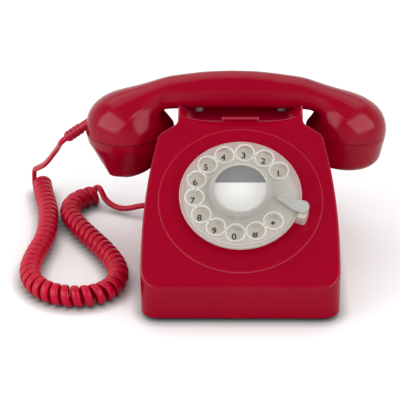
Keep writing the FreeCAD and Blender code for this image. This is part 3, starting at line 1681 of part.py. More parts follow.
def straight_runs(points, radius, name):
    """A tube along straight runs with an arc at each corner; its arc radii are printed."""
    corners = [FreeCAD.Vector(*point) for point in points]
    edges = []
    radii = []
    here = corners[0]
    for before, corner, after in zip(corners, corners[1:], corners[2:]):
        run_in = corner - before
        run_out = after - corner
        turn_by = run_in.getAngle(run_out)
        cut = 0.45 * min(run_in.Length, run_out.Length)
        radii.append(cut / math.tan(turn_by / 2))
        start = corner - FreeCAD.Vector(run_in).normalize() * cut
        end = corner + FreeCAD.Vector(run_out).normalize() * cut
        edges.append(Part.makeLine(here, start))
        edges.append(arc_between(start, FreeCAD.Vector(run_in).normalize(), end))
        here = end
    edges.append(Part.makeLine(here, corners[-1]))
    solid = tube(edges, radius)
    length = sum(edge.Length for edge in edges)
    print(name, "radii", [round(r, 1) for r in radii], "length", round(length, 1),
          "volume share", round(solid.Volume / (math.pi * radius * radius * length), 4))
    return feature(name, solid)


def least_gap(spots, diameter, per_turn):
    """Least gap between a tube and itself, measured between points of its middle line."""
    least = 1e9
    skip = per_turn // 2
    points = [spot for spot, way in spots]
    for index, point in enumerate(points):
        for other in points[index + skip:]:
            if abs(point.x - other.x) < 9 and abs(point.y - other.y) < 9:
                least = min(least, (point - other).Length)
    return least - diameter


def cord_pieces():
    """The curly cord with its two plain ends."""
    wire = size("wire_diameter").value
    radius = (size("curl_diameter").value - wire) / 2
    curls = size("curl_count").value + 0.875
    curve = cord_axis()
    length = curve.length()

    def axis(run):
        at = curve.parameterAtDistance(min(max(run, 0.0), length), curve.FirstParameter)
        ahead = FreeCAD.Vector(curve.tangent(at)[0])
        return curve.value(at), ahead, Z_AXIS.cross(ahead), Z_AXIS

    spots = helix_points(axis, length, curls, radius, math.pi, 4)
    first, first_way = spots[0]
    last, last_way = spots[-1]
    lead_in = first - first_way * wire
    lead_out = last + last_way * wire
    edges = [Part.makeLine(lead_in, first)] + coil_edges(spots) + [Part.makeLine(last, lead_out)]
    solid = tube(edges, wire / 2)
    run = sum(edge.Length for edge in edges)
    fine = helix_points(axis, length, curls, radius, math.pi, 24)
    print("curly_cord curls", curls, "axis", round(length, 1), "pitch", round(length / curls, 2),
          "path", round(run, 1), "least gap", round(least_gap(fine, wire, 24), 2),
          "volume share", round(solid.Volume / (math.pi * wire * wire / 4 * run), 4))
    keep("curly_cord", feature("curly_cord", solid))

    dip = math.radians(size("grommet_dip_angle").value)
    way = FreeCAD.Vector(-math.cos(dip), 0, -math.sin(dip))
    root_point = FreeCAD.Vector(grommet_x.value, handset_y.value, grommet_z.value)
    out = root_point + way * size("grommet_length").value
    keep("handset_lead", straight_runs([
        out,
        out + way * wire * 1.4,
        out + FreeCAD.Vector(-7.5, 12.0, -13.0),
        out + FreeCAD.Vector(-14.6, 24.5, -27.0),
        out + FreeCAD.Vector(-22.0, 37.5, -41.0),
        lead_in - first_way * wire * 1.6 + FreeCAD.Vector(4.0, -5.7, 4.0),
        lead_in - first_way * wire * 1.6,
        lead_in,
    ], wire / 2, "handset_lead"))
    plug_face = FreeCAD.Vector(-(side_wall_x + size("plug_stand")).value, socket_y.value, plug_z.value)
    keep("base_lead", straight_runs([
        lead_out,
        lead_out + last_way * wire * 1.2,
        FreeCAD.Vector(-92.0, 61.5, 3.4),
        plug_face + FreeCAD.Vector(-wire * 2.0, 0, 0),
        plug_face,
    ], wire / 2, "base_lead"))


def build():
    """Make every sub-part, check it and write it out."""
    keep("case_cover", case_cover())
    base_pieces()
    dial_fixed()
    dial_moving()
    governor_pieces()
    hook_pieces()
    ringer_pieces()
    board_pieces()
    socket_pieces()
    handset_pieces()
    cord_pieces()
    doc.recompute()
    troubled = [thing.Label for thing in doc.Objects if {"Invalid", "Error"} & set(thing.State)]
    if troubled:
        raise RuntimeError(f"objects in error: {troubled}")
    for node, thing in NODES.items():
        if thing.Shape.isNull() or not thing.Shape.isValid() or not thing.Shape.Solids:
            raise RuntimeError(f"{node} has no valid solid")
    os.makedirs("parts", exist_ok=True)
    for node, thing in NODES.items():
        thing.Shape.exportStep(f"parts/{node}.step")
        box = thing.Shape.BoundBox
        print(f"{node}: solids {len(thing.Shape.Solids)}, x {box.XMin:.1f} {box.XMax:.1f}, "
              f"y {box.YMin:.1f} {box.YMax:.1f}, z {box.ZMin:.1f} {box.ZMax:.1f}")
    print(len(NODES), "nodes")


build()
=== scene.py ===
"""Dresses a wedge-shaped desk telephone with a rotary dial and a curly handset cord.

Lengths are in millimetres unless a docstring or comment says metres, which are Blender's own units.
"""
import logging
import math
from dataclasses import dataclass, field, replace
from enum import Enum
from typing import Any, Iterable, Sequence

import bpy
from mathutils import Matrix, Vector


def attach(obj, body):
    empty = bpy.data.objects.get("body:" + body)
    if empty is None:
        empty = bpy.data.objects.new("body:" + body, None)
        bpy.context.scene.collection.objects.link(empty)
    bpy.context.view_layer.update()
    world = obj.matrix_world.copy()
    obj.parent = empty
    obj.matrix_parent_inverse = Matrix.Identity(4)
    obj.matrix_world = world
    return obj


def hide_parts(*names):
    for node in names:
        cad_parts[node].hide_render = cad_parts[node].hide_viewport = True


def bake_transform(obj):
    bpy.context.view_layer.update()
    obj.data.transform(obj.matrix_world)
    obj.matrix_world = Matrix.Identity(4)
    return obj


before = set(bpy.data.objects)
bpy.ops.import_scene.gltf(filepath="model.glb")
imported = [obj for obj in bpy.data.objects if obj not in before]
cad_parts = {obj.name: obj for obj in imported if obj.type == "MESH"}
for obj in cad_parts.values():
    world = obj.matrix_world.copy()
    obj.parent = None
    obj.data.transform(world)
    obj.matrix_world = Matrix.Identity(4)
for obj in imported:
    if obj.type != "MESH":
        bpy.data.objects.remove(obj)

LOG = logging.getLogger("telephone")
MM = 0.001
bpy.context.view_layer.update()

Point = tuple[float, float, float]
Span = tuple[float, float]
Tree = bpy.types.NodeTree
Socket = bpy.types.NodeSocket

UP = Vector((0.0, 0.0, 1.0))
WHITE = (1.0, 1.0, 1.0, 1.0)
# The dial's middle on the sloping face, and the face's slope.
DIAL_MIDDLE: Point = (0.0, -41.797, 66.298)
DIAL_SLOPE_DEG = 33.0
# What every lamp looks at, about the telephone's middle, in metres.
LAMP_AIM: Point = (0.0, 0.0, 0.08)
# Rays that feel for what is near a surface.
NEARNESS_RAYS = 16
# The stretch of a noise's values that is spread over a finish's range.
NOISE_SPAN: Span = (0.3, 0.7)
# How open the inside of a piece is away from an edge, and on a sharp one.
EDGE_SPAN: Span = (0.92, 0.5)
# How open the space is where painted shade has taken a finish's reflections away, and where
# it leaves them whole.
REFLECTION_SHADE_SPAN: Span = (0.35, 0.85)


class Body(Enum):
    """The rigid bodies that pieces ride on."""

    BASE = "base"
    DIAL = "dial"
    HANDSET = "handset"


class Light(Enum):
    """What a studio lamp is for."""

    LEFT = "left_softbox"
    RIGHT = "right_softbox"
    BACK = "back_softbox"
    LEFT_CARD = "left_card"
    RIGHT_CARD = "right_card"


def linear(colour: str) -> tuple[float, float, float, float]:
    """Turn an sRGB hex colour into linear light.

    Args:
        colour: Six hex digits, with or without a leading hash.

    Returns:
        Red, green, blue and an alpha of 1.
    """
    digits = colour.lstrip("#")
    channels = []
    for start in (0, 2, 4):
        share = int(digits[start:start + 2], 16) / 255
        channels.append(share / 12.92 if share <= 0.04045 else ((share + 0.055) / 1.055) ** 2.4)
    return (channels[0], channels[1], channels[2], 1.0)


def add_node(tree: Tree, kind: str, settings: dict[Any, Any] | None = None,
             links: dict[Any, Socket] | None = None) -> bpy.types.Node:
    """Add a shader node with its settings and links.

    Args:
        tree: The node tree to add to.
        kind: The node's type name.
        settings: Input sockets by name or number, or plain properties, and their values.
        links: Input sockets by name or number, and the sockets that feed them.

    Returns:
        The new node.
    """
    node = tree.nodes.new(kind)
    for key, value in (settings or {}).items():
        if isinstance(key, int) or key in node.inputs:
            node.inputs[key].default_value = value
        else:
            setattr(node, key, value)
    for key, socket in (links or {}).items():
        tree.links.new(socket, node.inputs[key])
    return node


def map_range(tree: Tree, value: Socket, low: float, high: float,
              span: Span = (0.0, 1.0)) -> Socket:
    """Spread a stretch of one value over a range of another.

    Args:
        tree: The node tree to add to.
        value: The value that is spread.
        low: What the stretch's start becomes.
        high: What the stretch's end becomes.
        span: The stretch, from its start to its end.

    Returns:
        The socket of the new value.
    """
    ends = {"From Min": span[0], "From Max": span[1], "To Min": low, "To Max": high}
    return add_node(tree, "ShaderNodeMapRange", ends, {"Value": value}).outputs["Result"]


def combine(tree: Tree, operation: str, first: Socket, second: Socket | float) -> Socket:
    """Work out one value from two.

    Args:
        tree: The node tree to add to.
        operation: The math node's name for what is done.
        first: The first value's socket.
        second: The second value, or its socket.

    Returns:
        The socket of the answer.
    """
    node = add_node(tree, "ShaderNodeMath", {"operation": operation}, {0: first})
    if isinstance(second, float):
        node.inputs[1].default_value = second
    else:
        tree.links.new(second, node.inputs[1])
    return node.outputs[0]


def openness(tree: Tree, reach: float, inside: bool = False) -> Socket:
    """Feel how open the space beside a surface is.

    Args:
        tree: The node tree to add to.
        reach: How far is felt, in metres.
        inside: Whether the inside of the piece itself is felt, and not what stands around it.

    Returns:
        A socket that is 1 in the open and less where something is near.
    """
    settings = {"samples": NEARNESS_RAYS, "inside": inside, "only_local": inside, "Distance": reach}
    return add_node(tree, "ShaderNodeAmbientOcclusion", settings).outputs["AO"]


@dataclass(frozen=True)
class Finish:
    """A real material and how its surface was made.

    The grain is the surface's own texture: its size across and its depth in millimetres. The mottle
    is how far the colour wanders, and the gloss spread how far the roughness does. The edge values
    are for convex edges: a painted highlight makes the red moulding's edges lighter and the clear
    plastic's rims whiter and more opaque, and on the handset the same mix draws its seams dark. A
    flat finish is shaded by the faces themselves. Within the reflection shade's reach of other
    surfaces, painted shade dims the reflections.
    """

    name: str
    colour: str
    roughness: float
    ior: float = 1.5
    specular: float = 0.5
    metallic: float = 0.0
    coat: float = 0.0
    alpha: float = 1.0
    grain_mm: float = 2.0
    grain_depth_mm: float = 0.01
    grain_stretch: Point = (1.0, 1.0, 1.0)
    mottle: float = 0.04
    mottle_mm: float = 30.0
    gloss_spread: float = 0.04
    edge_highlight_and_seam_colour: str = ""
    edge_mm: float = 1.5
    edge_highlight_alpha: float = 1.0
    flat: bool = False
    reflection_shade_mm: float = 0.0

    @staticmethod
    def edges(tree: Tree, reach: float) -> Socket:
        """Find the convex edges of the piece itself.

        Args:
            tree: The material's nodes.
            reach: How far from an edge it is felt, in metres.

        Returns:
            A socket that is 1 on an edge and 0 away from one.
        """
        return map_range(tree, openness(tree, reach, inside=True), 0.0, 1.0, EDGE_SPAN)

    def base_colour(self, tree: Tree, place: Socket) -> Socket:
        """Colour that wanders a little over the surface.

        Args:
            tree: The material's nodes.
            place: The surface's own coordinates.

        Returns:
            The colour socket.
        """
        cloud = add_node(tree, "ShaderNodeTexNoise",
                         {"Scale": 1 / (self.mottle_mm * MM), "Detail": 2.0, "Roughness": 0.5},
                         {"Vector": place})
        value = map_range(tree, cloud.outputs["Fac"], 1 - self.mottle, 1 + self.mottle, NOISE_SPAN)
        tint = add_node(tree, "ShaderNodeHueSaturation", {"Color": linear(self.colour)},
                        {"Value": value})
        return tint.outputs["Color"]

    def build(self) -> bpy.types.Material:
        """Make the material.

        Returns:
            The finished material.
        """
        material = bpy.data.materials.new(self.name)
        material.use_nodes = True
        tree = material.node_tree
        shader = tree.nodes["Principled BSDF"]
        place = add_node(tree, "ShaderNodeTexCoord").outputs["Object"]
        stretched = add_node(tree, "ShaderNodeMapping", {"Scale": self.grain_stretch},
                             {"Vector": place})
        grain = add_node(tree, "ShaderNodeTexNoise",
                         {"Scale": 1 / (self.grain_mm * MM), "Detail": 3.0, "Roughness": 0.55},
                         {"Vector": stretched.outputs["Vector"]}).outputs["Fac"]
        gloss = map_range(tree, grain, max(0.0, self.roughness - self.gloss_spread),
                          self.roughness + self.gloss_spread, NOISE_SPAN)
        bump = add_node(tree, "ShaderNodeBump",
                        {"Strength": 1.0, "Distance": self.grain_depth_mm * MM}, {"Height": grain})
        if self.flat:
            facing = add_node(tree, "ShaderNodeNewGeometry").outputs["True Normal"]
            tree.links.new(facing, bump.inputs["Normal"])
        constants = {"IOR": self.ior, "Specular IOR Level": self.specular, "Alpha": self.alpha,
                     "Metallic": self.metallic, "Coat Weight": self.coat}
        for socket, value in constants.items():
            shader.inputs[socket].default_value = value
        colour = self.base_colour(tree, place)
        # Painted highlight: convex edges of the red case get a lighter red and the clear plastic's
        # rims a near white; on the handset the same mix draws dark seams.
        if self.edge_highlight_and_seam_colour:
            edge = self.edges(tree, self.edge_mm * MM)
            colour = add_node(tree, "ShaderNodeMix",
                              {"data_type": "RGBA", 7: linear(self.edge_highlight_and_seam_colour)},
                              {0: edge, 6: colour}).outputs[2]
            # The clear plastic's painted rim highlight is also made more opaque.
            if self.alpha < 1:
                rim_alpha = map_range(tree, edge, self.alpha, self.edge_highlight_alpha)
                tree.links.new(rim_alpha, shader.inputs["Alpha"])
        # Painted shade: the reflections are dimmed where other surfaces are near.
        if self.reflection_shade_mm:
            room = openness(tree, self.reflection_shade_mm * MM)
            shine = map_range(tree, room, 0.0, self.specular, REFLECTION_SHADE_SPAN)
            tree.links.new(shine, shader.inputs["Specular IOR Level"])
        tree.links.new(colour, shader.inputs["Base Color"])
        tree.links.new(gloss, shader.inputs["Roughness"])
        tree.links.new(bump.outputs["Normal"], shader.inputs["Normal"])
        return material


@dataclass(frozen=True)
class LabelCard(Finish):
    """Printed card behind the dial's window: a grey field above a white one.

    The split is how far above the dial's middle the two fields meet.
    """

    field_colour: str = "7B7B7B"
    split_mm: float = 4.6

    def base_colour(self, tree: Tree, place: Socket) -> Socket:
        """Two printed fields, the grey one higher up the dial's slope.

        Args:
            tree: The material's nodes.
            place: The surface's own coordinates.

        Returns:
            The colour socket.
        """
        slope = math.radians(DIAL_SLOPE_DEG)
        up_slope = Vector((0.0, math.cos(slope), math.sin(slope)))
        split = (Vector(DIAL_MIDDLE) * MM).dot(up_slope) + self.split_mm * MM
        height = add_node(tree, "ShaderNodeVectorMath", {"operation": "DOT_PRODUCT", 1: up_slope},
                          {0: place})
        upper = combine(tree, "GREATER_THAN", height.outputs["Value"], split)
        colours = {6: linear(self.colour), 7: linear(self.field_colour)}
        fields = add_node(tree, "ShaderNodeMix", {"data_type": "RGBA", **colours}, {0: upper})
        return fields.outputs[2]


# Polished injection-moulded ABS: a deep even red with soft-edged lamp reflections and a faint
# orange peel. A painted highlight lightens its convex edges, and painted shade dims its reflections
# near other surfaces.
RED_ABS = Finish("abs_moulded_polished_red", "9B0022", 0.17, ior=1.53, specular=0.14, grain_mm=5.0,
                 grain_depth_mm=0.004, mottle=0.03, gloss_spread=0.03, edge_highlight_and_seam_colour="D24C66",
                 edge_mm=1.8, reflection_shade_mm=60.0)
# The same moulding on the handset, whose only sharp edges are the partings, where seams show dark.
SEAMED_RED_ABS = replace(RED_ABS, name="abs_moulded_polished_red_seamed", edge_highlight_and_seam_colour="5E000E",
                         edge_mm=0.9)
# Flexible PVC drawn over the wires: a brighter red with less gloss and a fine uneven skin.
RED_PVC = Finish("pvc_extruded_red", "C0002E", 0.3, ior=1.53, specular=0.16, grain_mm=1.2,
                 grain_depth_mm=0.01, mottle=0.05, mottle_mm=8.0)
# Soft moulded PVC of the cord outlet: satin, without a coat.
SOFT_RED_PVC = Finish("pvc_soft_moulded_red", "AC002C", 0.38, ior=1.5, specular=0.2, grain_mm=1.0,
                      grain_depth_mm=0.015)
# Moulded black rubber: nearly no gloss and a fine grain.
BLACK_RUBBER = Finish("rubber_moulded_black", "1A1A1A", 0.75, grain_mm=0.6, grain_depth_mm=0.03,
                      gloss_spread=0.1)
# Pressed sheet steel with black paint: smooth, with a light texture.
BLACK_SHEET = Finish("steel_sheet_painted_black", "222223", 0.45, coat=0.1, grain_mm=0.8,
                     grain_depth_mm=0.02)
# Ivory ABS of the dial's fixed pieces: a warm grey white, glossy.
IVORY_ABS = Finish("abs_moulded_ivory", "CBC4B8", 0.28, ior=1.53, coat=0.2, grain_mm=3.0,
                   grain_depth_mm=0.004, mottle=0.02)
# Clear moulded acrylic: shows what lies under it, with a slight milkiness and crisp reflections.
# A painted highlight makes its rims whiter and more opaque.
CLEAR_ACRYLIC = Finish("acrylic_moulded_clear", "DEDBD4", 0.12, ior=1.49, alpha=0.36, grain_mm=6.0,
                       grain_depth_mm=0.006, mottle=0.02, edge_highlight_and_seam_colour="F4F2EE", edge_mm=1.0,
                       edge_highlight_alpha=0.75)
# Thin clear window over the card: almost invisible but for its reflections.
CLEAR_WINDOW = Finish("acrylic_window_clear", "F4F4F2", 0.06, ior=1.49, specular=0.1, alpha=0.06,
                      grain_mm=8.0, grain_depth_mm=0.002, mottle=0.0, flat=True)
# Coated card, printed in two fields.
CARD = LabelCard("card_printed_coated", "ECEAE6", 0.45, grain_mm=0.3, grain_depth_mm=0.004,
                 flat=True)
# Nickel and chromium plate on a pressing, satin from its tumbling.
PLATED = Finish("steel_plated_satin", "BCBBB8", 0.38, metallic=0.35, grain_mm=0.5,
                grain_depth_mm=0.003, gloss_spread=0.05)
# Zinc-plated steel of hidden brackets and screws: grey with a soft bloom.
ZINC_STEEL = Finish("steel_zinc_plated", "A9ACAE", 0.35, metallic=1.0, grain_mm=1.5,
                    grain_depth_mm=0.006, mottle=0.08, mottle_mm=6.0)
# Turned and milled brass: warm, with fine tool marks.
BRASS = Finish("brass_machined", "C69B4B", 0.28, metallic=1.0, grain_mm=0.5, grain_depth_mm=0.006,
               grain_stretch=(1.0, 1.0, 6.0))
# Spun bell brass: rings of polish around each gong.
BELL_BRASS = Finish("brass_spun_bell", "C8B27C", 0.24, metallic=1.0, grain_mm=0.8,
                    grain_depth_mm=0.006, grain_stretch=(1.0, 1.0, 8.0))
# Black moulded plastic of switches, sockets and capsules: satin.
BLACK_MOULDING = Finish("pbt_moulded_black", "1B1B1D", 0.5, grain_mm=0.7, grain_depth_mm=0.02)
# Enamelled copper wire wound in layers: the turns show as fine ridges.
COPPER_WINDING = Finish("copper_wire_enamelled", "A8582C", 0.32, metallic=0.8, grain_mm=0.4,
                        grain_depth_mm=0.05, grain_stretch=(0.2, 3.0, 0.2))
# Green solder mask over glass-fibre laminate.
BOARD_MASK = Finish("laminate_solder_masked_green", "1F5F35", 0.4, coat=0.2, grain_mm=0.9,
                    grain_depth_mm=0.01)
# Black numeral ink, screen printed.
NUMERAL_INK = Finish("ink_screen_printed_black", "141414", 0.5, grain_mm=0.4, grain_depth_mm=0.002,
                     mottle=0.0)

NODE_FINISHES: dict[Finish, tuple[str, ...]] = {
    RED_ABS: ("case_cover",),
    SEAMED_RED_ABS: ("handset_body", "ear_cap", "mouth_cap"),
    SOFT_RED_PVC: ("cord_grommet",),
    BLACK_RUBBER: ("rubber_feet",),
    BLACK_SHEET: ("base_plate",),
    IVORY_ABS: ("number_plate", "dial_housing"),
    CLEAR_ACRYLIC: ("finger_plate", "label_bezel", "plunger_left", "plunger_right", "cord_plug"),
    CLEAR_WINDOW: ("label_cover",),
    CARD: ("label_card",),
    PLATED: ("finger_stop",),
    ZINC_STEEL: ("dial_shaft", "dial_lock_ring", "dial_bridge", "return_spring", "base_screws",
                 "board_screws", "hook_bracket", "hook_spring", "gong_posts", "gong_nuts",
                 "ringer_frame", "clapper_pin", "clapper_arm", "handset_weight"),
    BRASS: ("board_standoffs", "clapper_ball", "main_gear", "governor_pinion", "governor_rotor",
            "governor_cup", "contact_leaves", "dial_hub"),
    BELL_BRASS: ("gong_left", "gong_right"),
    BLACK_MOULDING: ("impulse_cam", "contact_block", "hook_bridge", "hook_switch", "handset_socket",
                     "line_socket", "board_components", "receiver_capsule", "transmitter_capsule"),
    COPPER_WINDING: ("ringer_coils",),
    BOARD_MASK: ("circuit_board",),
}


@dataclass
class Wardrobe:
    """Builds each finish once and dresses the solids with them."""

    made: dict[str, bpy.types.Material] = field(default_factory=dict)

    def material(self, finish: Finish) -> bpy.types.Material:
        """The material of a finish, made on first use.

        Args:
            finish: The finish that is asked for.

        Returns:
            Its one material.
        """
        if finish.name not in self.made:
            self.made[finish.name] = finish.build()
        return self.made[finish.name]

    def dress(self, piece: bpy.types.Object, finish: Finish) -> None:
        """Give a piece one finish all over."""
        piece.data.materials.clear()
        piece.data.materials.append(self.material(finish))

    def dress_nodes(self) -> None:
        """Give every solid of the frame its finish."""
        for finish, nodes in NODE_FINISHES.items():
            for node in nodes:
                self.dress(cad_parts[node], finish)
                LOG.info("dressed %s with %s", node, finish.name)


def new_mesh(name: str, vertices: Iterable[Sequence[float]],
             faces: Iterable[Sequence[int]]) -> bpy.types.Object:
    """Make a smooth-shaded mesh object in the scene.

    Args:
        name: The piece's name.
        vertices: Places in metres.
        faces: Corner numbers of each face.

    Returns:
        The new object.
    """
    mesh = bpy.data.meshes.new(name)
    mesh.from_pydata([tuple(v) for v in vertices], [], [tuple(f) for f in faces])
    mesh.update()
    mesh.polygons.foreach_set("use_smooth", [True] * len(mesh.polygons))
    piece = bpy.data.objects.new(name, mesh)
    bpy.context.scene.collection.objects.link(piece)
    return piece


def curve_mesh(curve: bpy.types.Curve) -> bpy.types.Mesh:
    """Turn a line or a text into a mesh, and drop the curve.

    Args:
        curve: The line or the text.

    Returns:
        The mesh.
    """
    holder = bpy.data.objects.new(curve.name, curve)
    bpy.context.scene.collection.objects.link(holder)
    bpy.context.view_layer.update()
    mesh = bpy.data.meshes.new_from_object(holder)
    bpy.data.objects.remove(holder)
    bpy.data.curves.remove(curve)
    return mesh


def spline_points(name: str, route: Sequence[Point], steps: int) -> list[Vector]:
    """Read points along a smooth line that has a route's points as its control points.

    Args:
        name: A name for the passing curve.
        route: Control points in millimetres.
        steps: How finely each stretch is read.

    Returns:
        Points in metres, in order.
    """
    curve = bpy.data.curves.new(name, "CURVE")
    curve.dimensions = "3D"
    curve.resolution_u = steps
    spline = curve.splines.new("NURBS")
    spline.points.add(len(route) - 1)
    for spot, place in zip(spline.points, route):
        spot.co = (place[0] * MM, place[1] * MM, place[2] * MM, 1.0)
    spline.order_u = 3
    spline.use_endpoint_u = True
    mesh = curve_mesh(curve)
    points = [vertex.co.copy() for vertex in mesh.vertices]
    bpy.data.meshes.remove(mesh)
    return points


def even_points(points: Sequence[Vector], count: int) -> list[Vector]:
    """Space points evenly along a line.

    Args:
        points: The line's own points.
        count: How many points to return.

    Returns:
        The spaced points, ends included.
    """
    runs = [0.0]
    for before, after in zip(points, points[1:]):
        runs.append(runs[-1] + (after - before).length)
    spaced = []
    index = 0
    for step in range(count):
        target = runs[-1] * step / (count - 1)
        while index < len(points) - 2 and runs[index + 1] < target:
            index += 1
        span = runs[index + 1] - runs[index]
        share = (target - runs[index]) / span if span > 0 else 0.0
        spaced.append(points[index].lerp(points[index + 1], min(max(share, 0.0), 1.0)))
    return spaced


@dataclass
class CurlyCord:
    """The handset's cord: a plain lead, the curls and the plain end that plugs into the case.

    The routes are the part's own, in millimetres. The blend's start, where the cord would stay with
    the base, and its end, where it would follow the handset, are not used.
    """

    wardrobe: Wardrobe
    lead_route: tuple[Point, ...] = (
        (-130.8, 46.0, 73.5), (-135.7, 46.0, 69.9), (-138.3, 58.0, 60.5), (-145.4, 70.5, 46.5),
        (-152.8, 83.5, 32.5), (-160.5, 95.5, 23.0), (-164.5, 101.2, 19.0), (-164.3, 99.8, 12.2))
    curl_route: tuple[tuple[float, float], ...] = (
        (-158.5, 100.0), (-155.0, 80.0), (-149.0, 56.0), (-146.5, 30.0), (-147.0, 5.0),
        (-152.5, -20.0), (-154.0, -47.0), (-143.0, -69.0), (-122.0, -79.0), (-100.0, -76.0),
        (-87.5, -57.0), (-89.5, -35.0), (-100.0, -12.0), (-112.0, 8.0), (-123.0, 26.0),
        (-131.5, 44.0), (-132.0, 61.0), (-124.0, 74.0), (-110.5, 79.5))
    plug_route: tuple[Point, ...] = (
        (-107.1, 73.3, 9.1), (-104.8, 70.3, 5.5), (-92.0, 61.5, 3.4), (-75.7, 58.0, 9.6),
        (-67.1, 58.0, 9.6))
    middle_height: float = 8.0
    curl_radius: float = 5.95
    curls: float = 54.875
    per_curl: int = 24
    curl_line_steps: int = 24
    end_line_steps: int = 16
    lead_points: int = 70
    plug_points: int = 46
    band_half_width: float = 2.9
    lead_half_width: float = 2.2
    half_thickness: float = 1.85
    squareness: float = 2.8
    ring: int = 20
    blend_start: Point = (-131.0, 46.0, 8.0)
    blend_end: Point = (-158.8, 53.2, 56.4)

    def curl_points(self) -> tuple[list[Vector], list[Vector]]:
        """Wind the curls about their middle line.

        Returns:
            The points of the wire, and at each the direction along the middle line.
        """
        route = [(x, y, self.middle_height) for x, y in self.curl_route]
        line = spline_points("curl_line", route, self.curl_line_steps)
        count = int(round(self.curls * self.per_curl)) + 1
        middle = even_points(line, count)
        points = []
        ways = []
        for index, spot in enumerate(middle):
            ahead = (middle[min(index + 1, count - 1)] - middle[max(index - 1, 0)]).normalized()
            left = UP.cross(ahead)
            angle = math.pi + 2 * math.pi * self.curls * index / (count - 1)
            out = left * math.cos(angle) + UP * math.sin(angle)
            points.append(spot + out * (self.curl_radius * MM))
            ways.append(ahead)
        return points, ways

    def path(self) -> tuple[list[Vector], list[Vector], list[float]]:
        """The whole wire from the handset to the plug.

        Returns:
            The points of the wire, and at each the direction of its flat side and its half width.
        """
        steps = self.end_line_steps
        lead = even_points(spline_points("lead_line", self.lead_route, steps), self.lead_points)
        tail = even_points(spline_points("plug_line", self.plug_route, steps), self.plug_points)
        curls, ways = self.curl_points()
        points = lead + curls + tail
        flats: list[Vector] = [Vector()] * len(points)
        first = len(lead)
        last = first + len(curls) - 1
        for index, way in enumerate(ways):
            flats[first + index] = way
        for index in range(first - 1, -1, -1):
            flats[index] = self.carried(flats[index + 1], points, index)
        for index in range(last + 1, len(points)):
            flats[index] = self.carried(flats[index - 1], points, index)
        widths = [self.half_width(index - first, last - index) for index in range(len(points))]
        return points, flats, widths

    def half_width(self, after_start: int, before_end: int) -> float:
        """Half the wire's width, counted in points from the two ends of the curls."""
        share = min(max(min(after_start, before_end) / self.per_curl, 0.0), 1.0)
        return self.lead_half_width + (self.band_half_width - self.lead_half_width) * share

    @staticmethod
    def heading(points: Sequence[Vector], index: int) -> Vector:
        """The direction of the wire at one of its points."""
        return (points[min(index + 1, len(points) - 1)] - points[max(index - 1, 0)]).normalized()

    def carried(self, flat: Vector, points: Sequence[Vector], index: int) -> Vector:
        """Carry the flat side's direction on to the next point without twisting it."""
        ahead = self.heading(points, index)
        return (flat - ahead * flat.dot(ahead)).normalized()

    def rounded(self, share: float) -> float:
        """Push a point of a circle out towards a square with round corners."""
        return math.copysign(abs(share) ** (2 / self.squareness), share)

    def build(self) -> bpy.types.Object:
        """Sweep the wire's flattened, round-cornered section along its path.

        Returns:
            The cord.
        """
        points, flats, widths = self.path()
        turns = [2 * math.pi * step / self.ring for step in range(self.ring)]
        corners = [(self.rounded(math.cos(turn)), self.rounded(math.sin(turn))) for turn in turns]
        vertices = []
        for index, spot in enumerate(points):
            ahead = self.heading(points, index)
            flat = (flats[index] - ahead * flats[index].dot(ahead)).normalized()
            deep = ahead.cross(flat)
            for across, along in corners:
                vertices.append(spot + flat * (widths[index] * MM * across)
                                + deep * (self.half_thickness * MM * along))
        faces = []
        for row in range(len(points) - 1):
            for step in range(self.ring):
                beside = (step + 1) % self.ring
                faces.append((row * self.ring + step, row * self.ring + beside,
                              (row + 1) * self.ring + beside, (row + 1) * self.ring + step))
        end = (len(points) - 1) * self.ring
        faces.append(tuple(range(self.ring - 1, -1, -1)))
        faces.append(tuple(range(end, end + self.ring)))
        cord = new_mesh("handset_cord", vertices, faces)
        self.wardrobe.dress(cord, RED_PVC)
        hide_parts("handset_lead", "curly_cord", "base_lead")
        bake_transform(cord)
        return cord


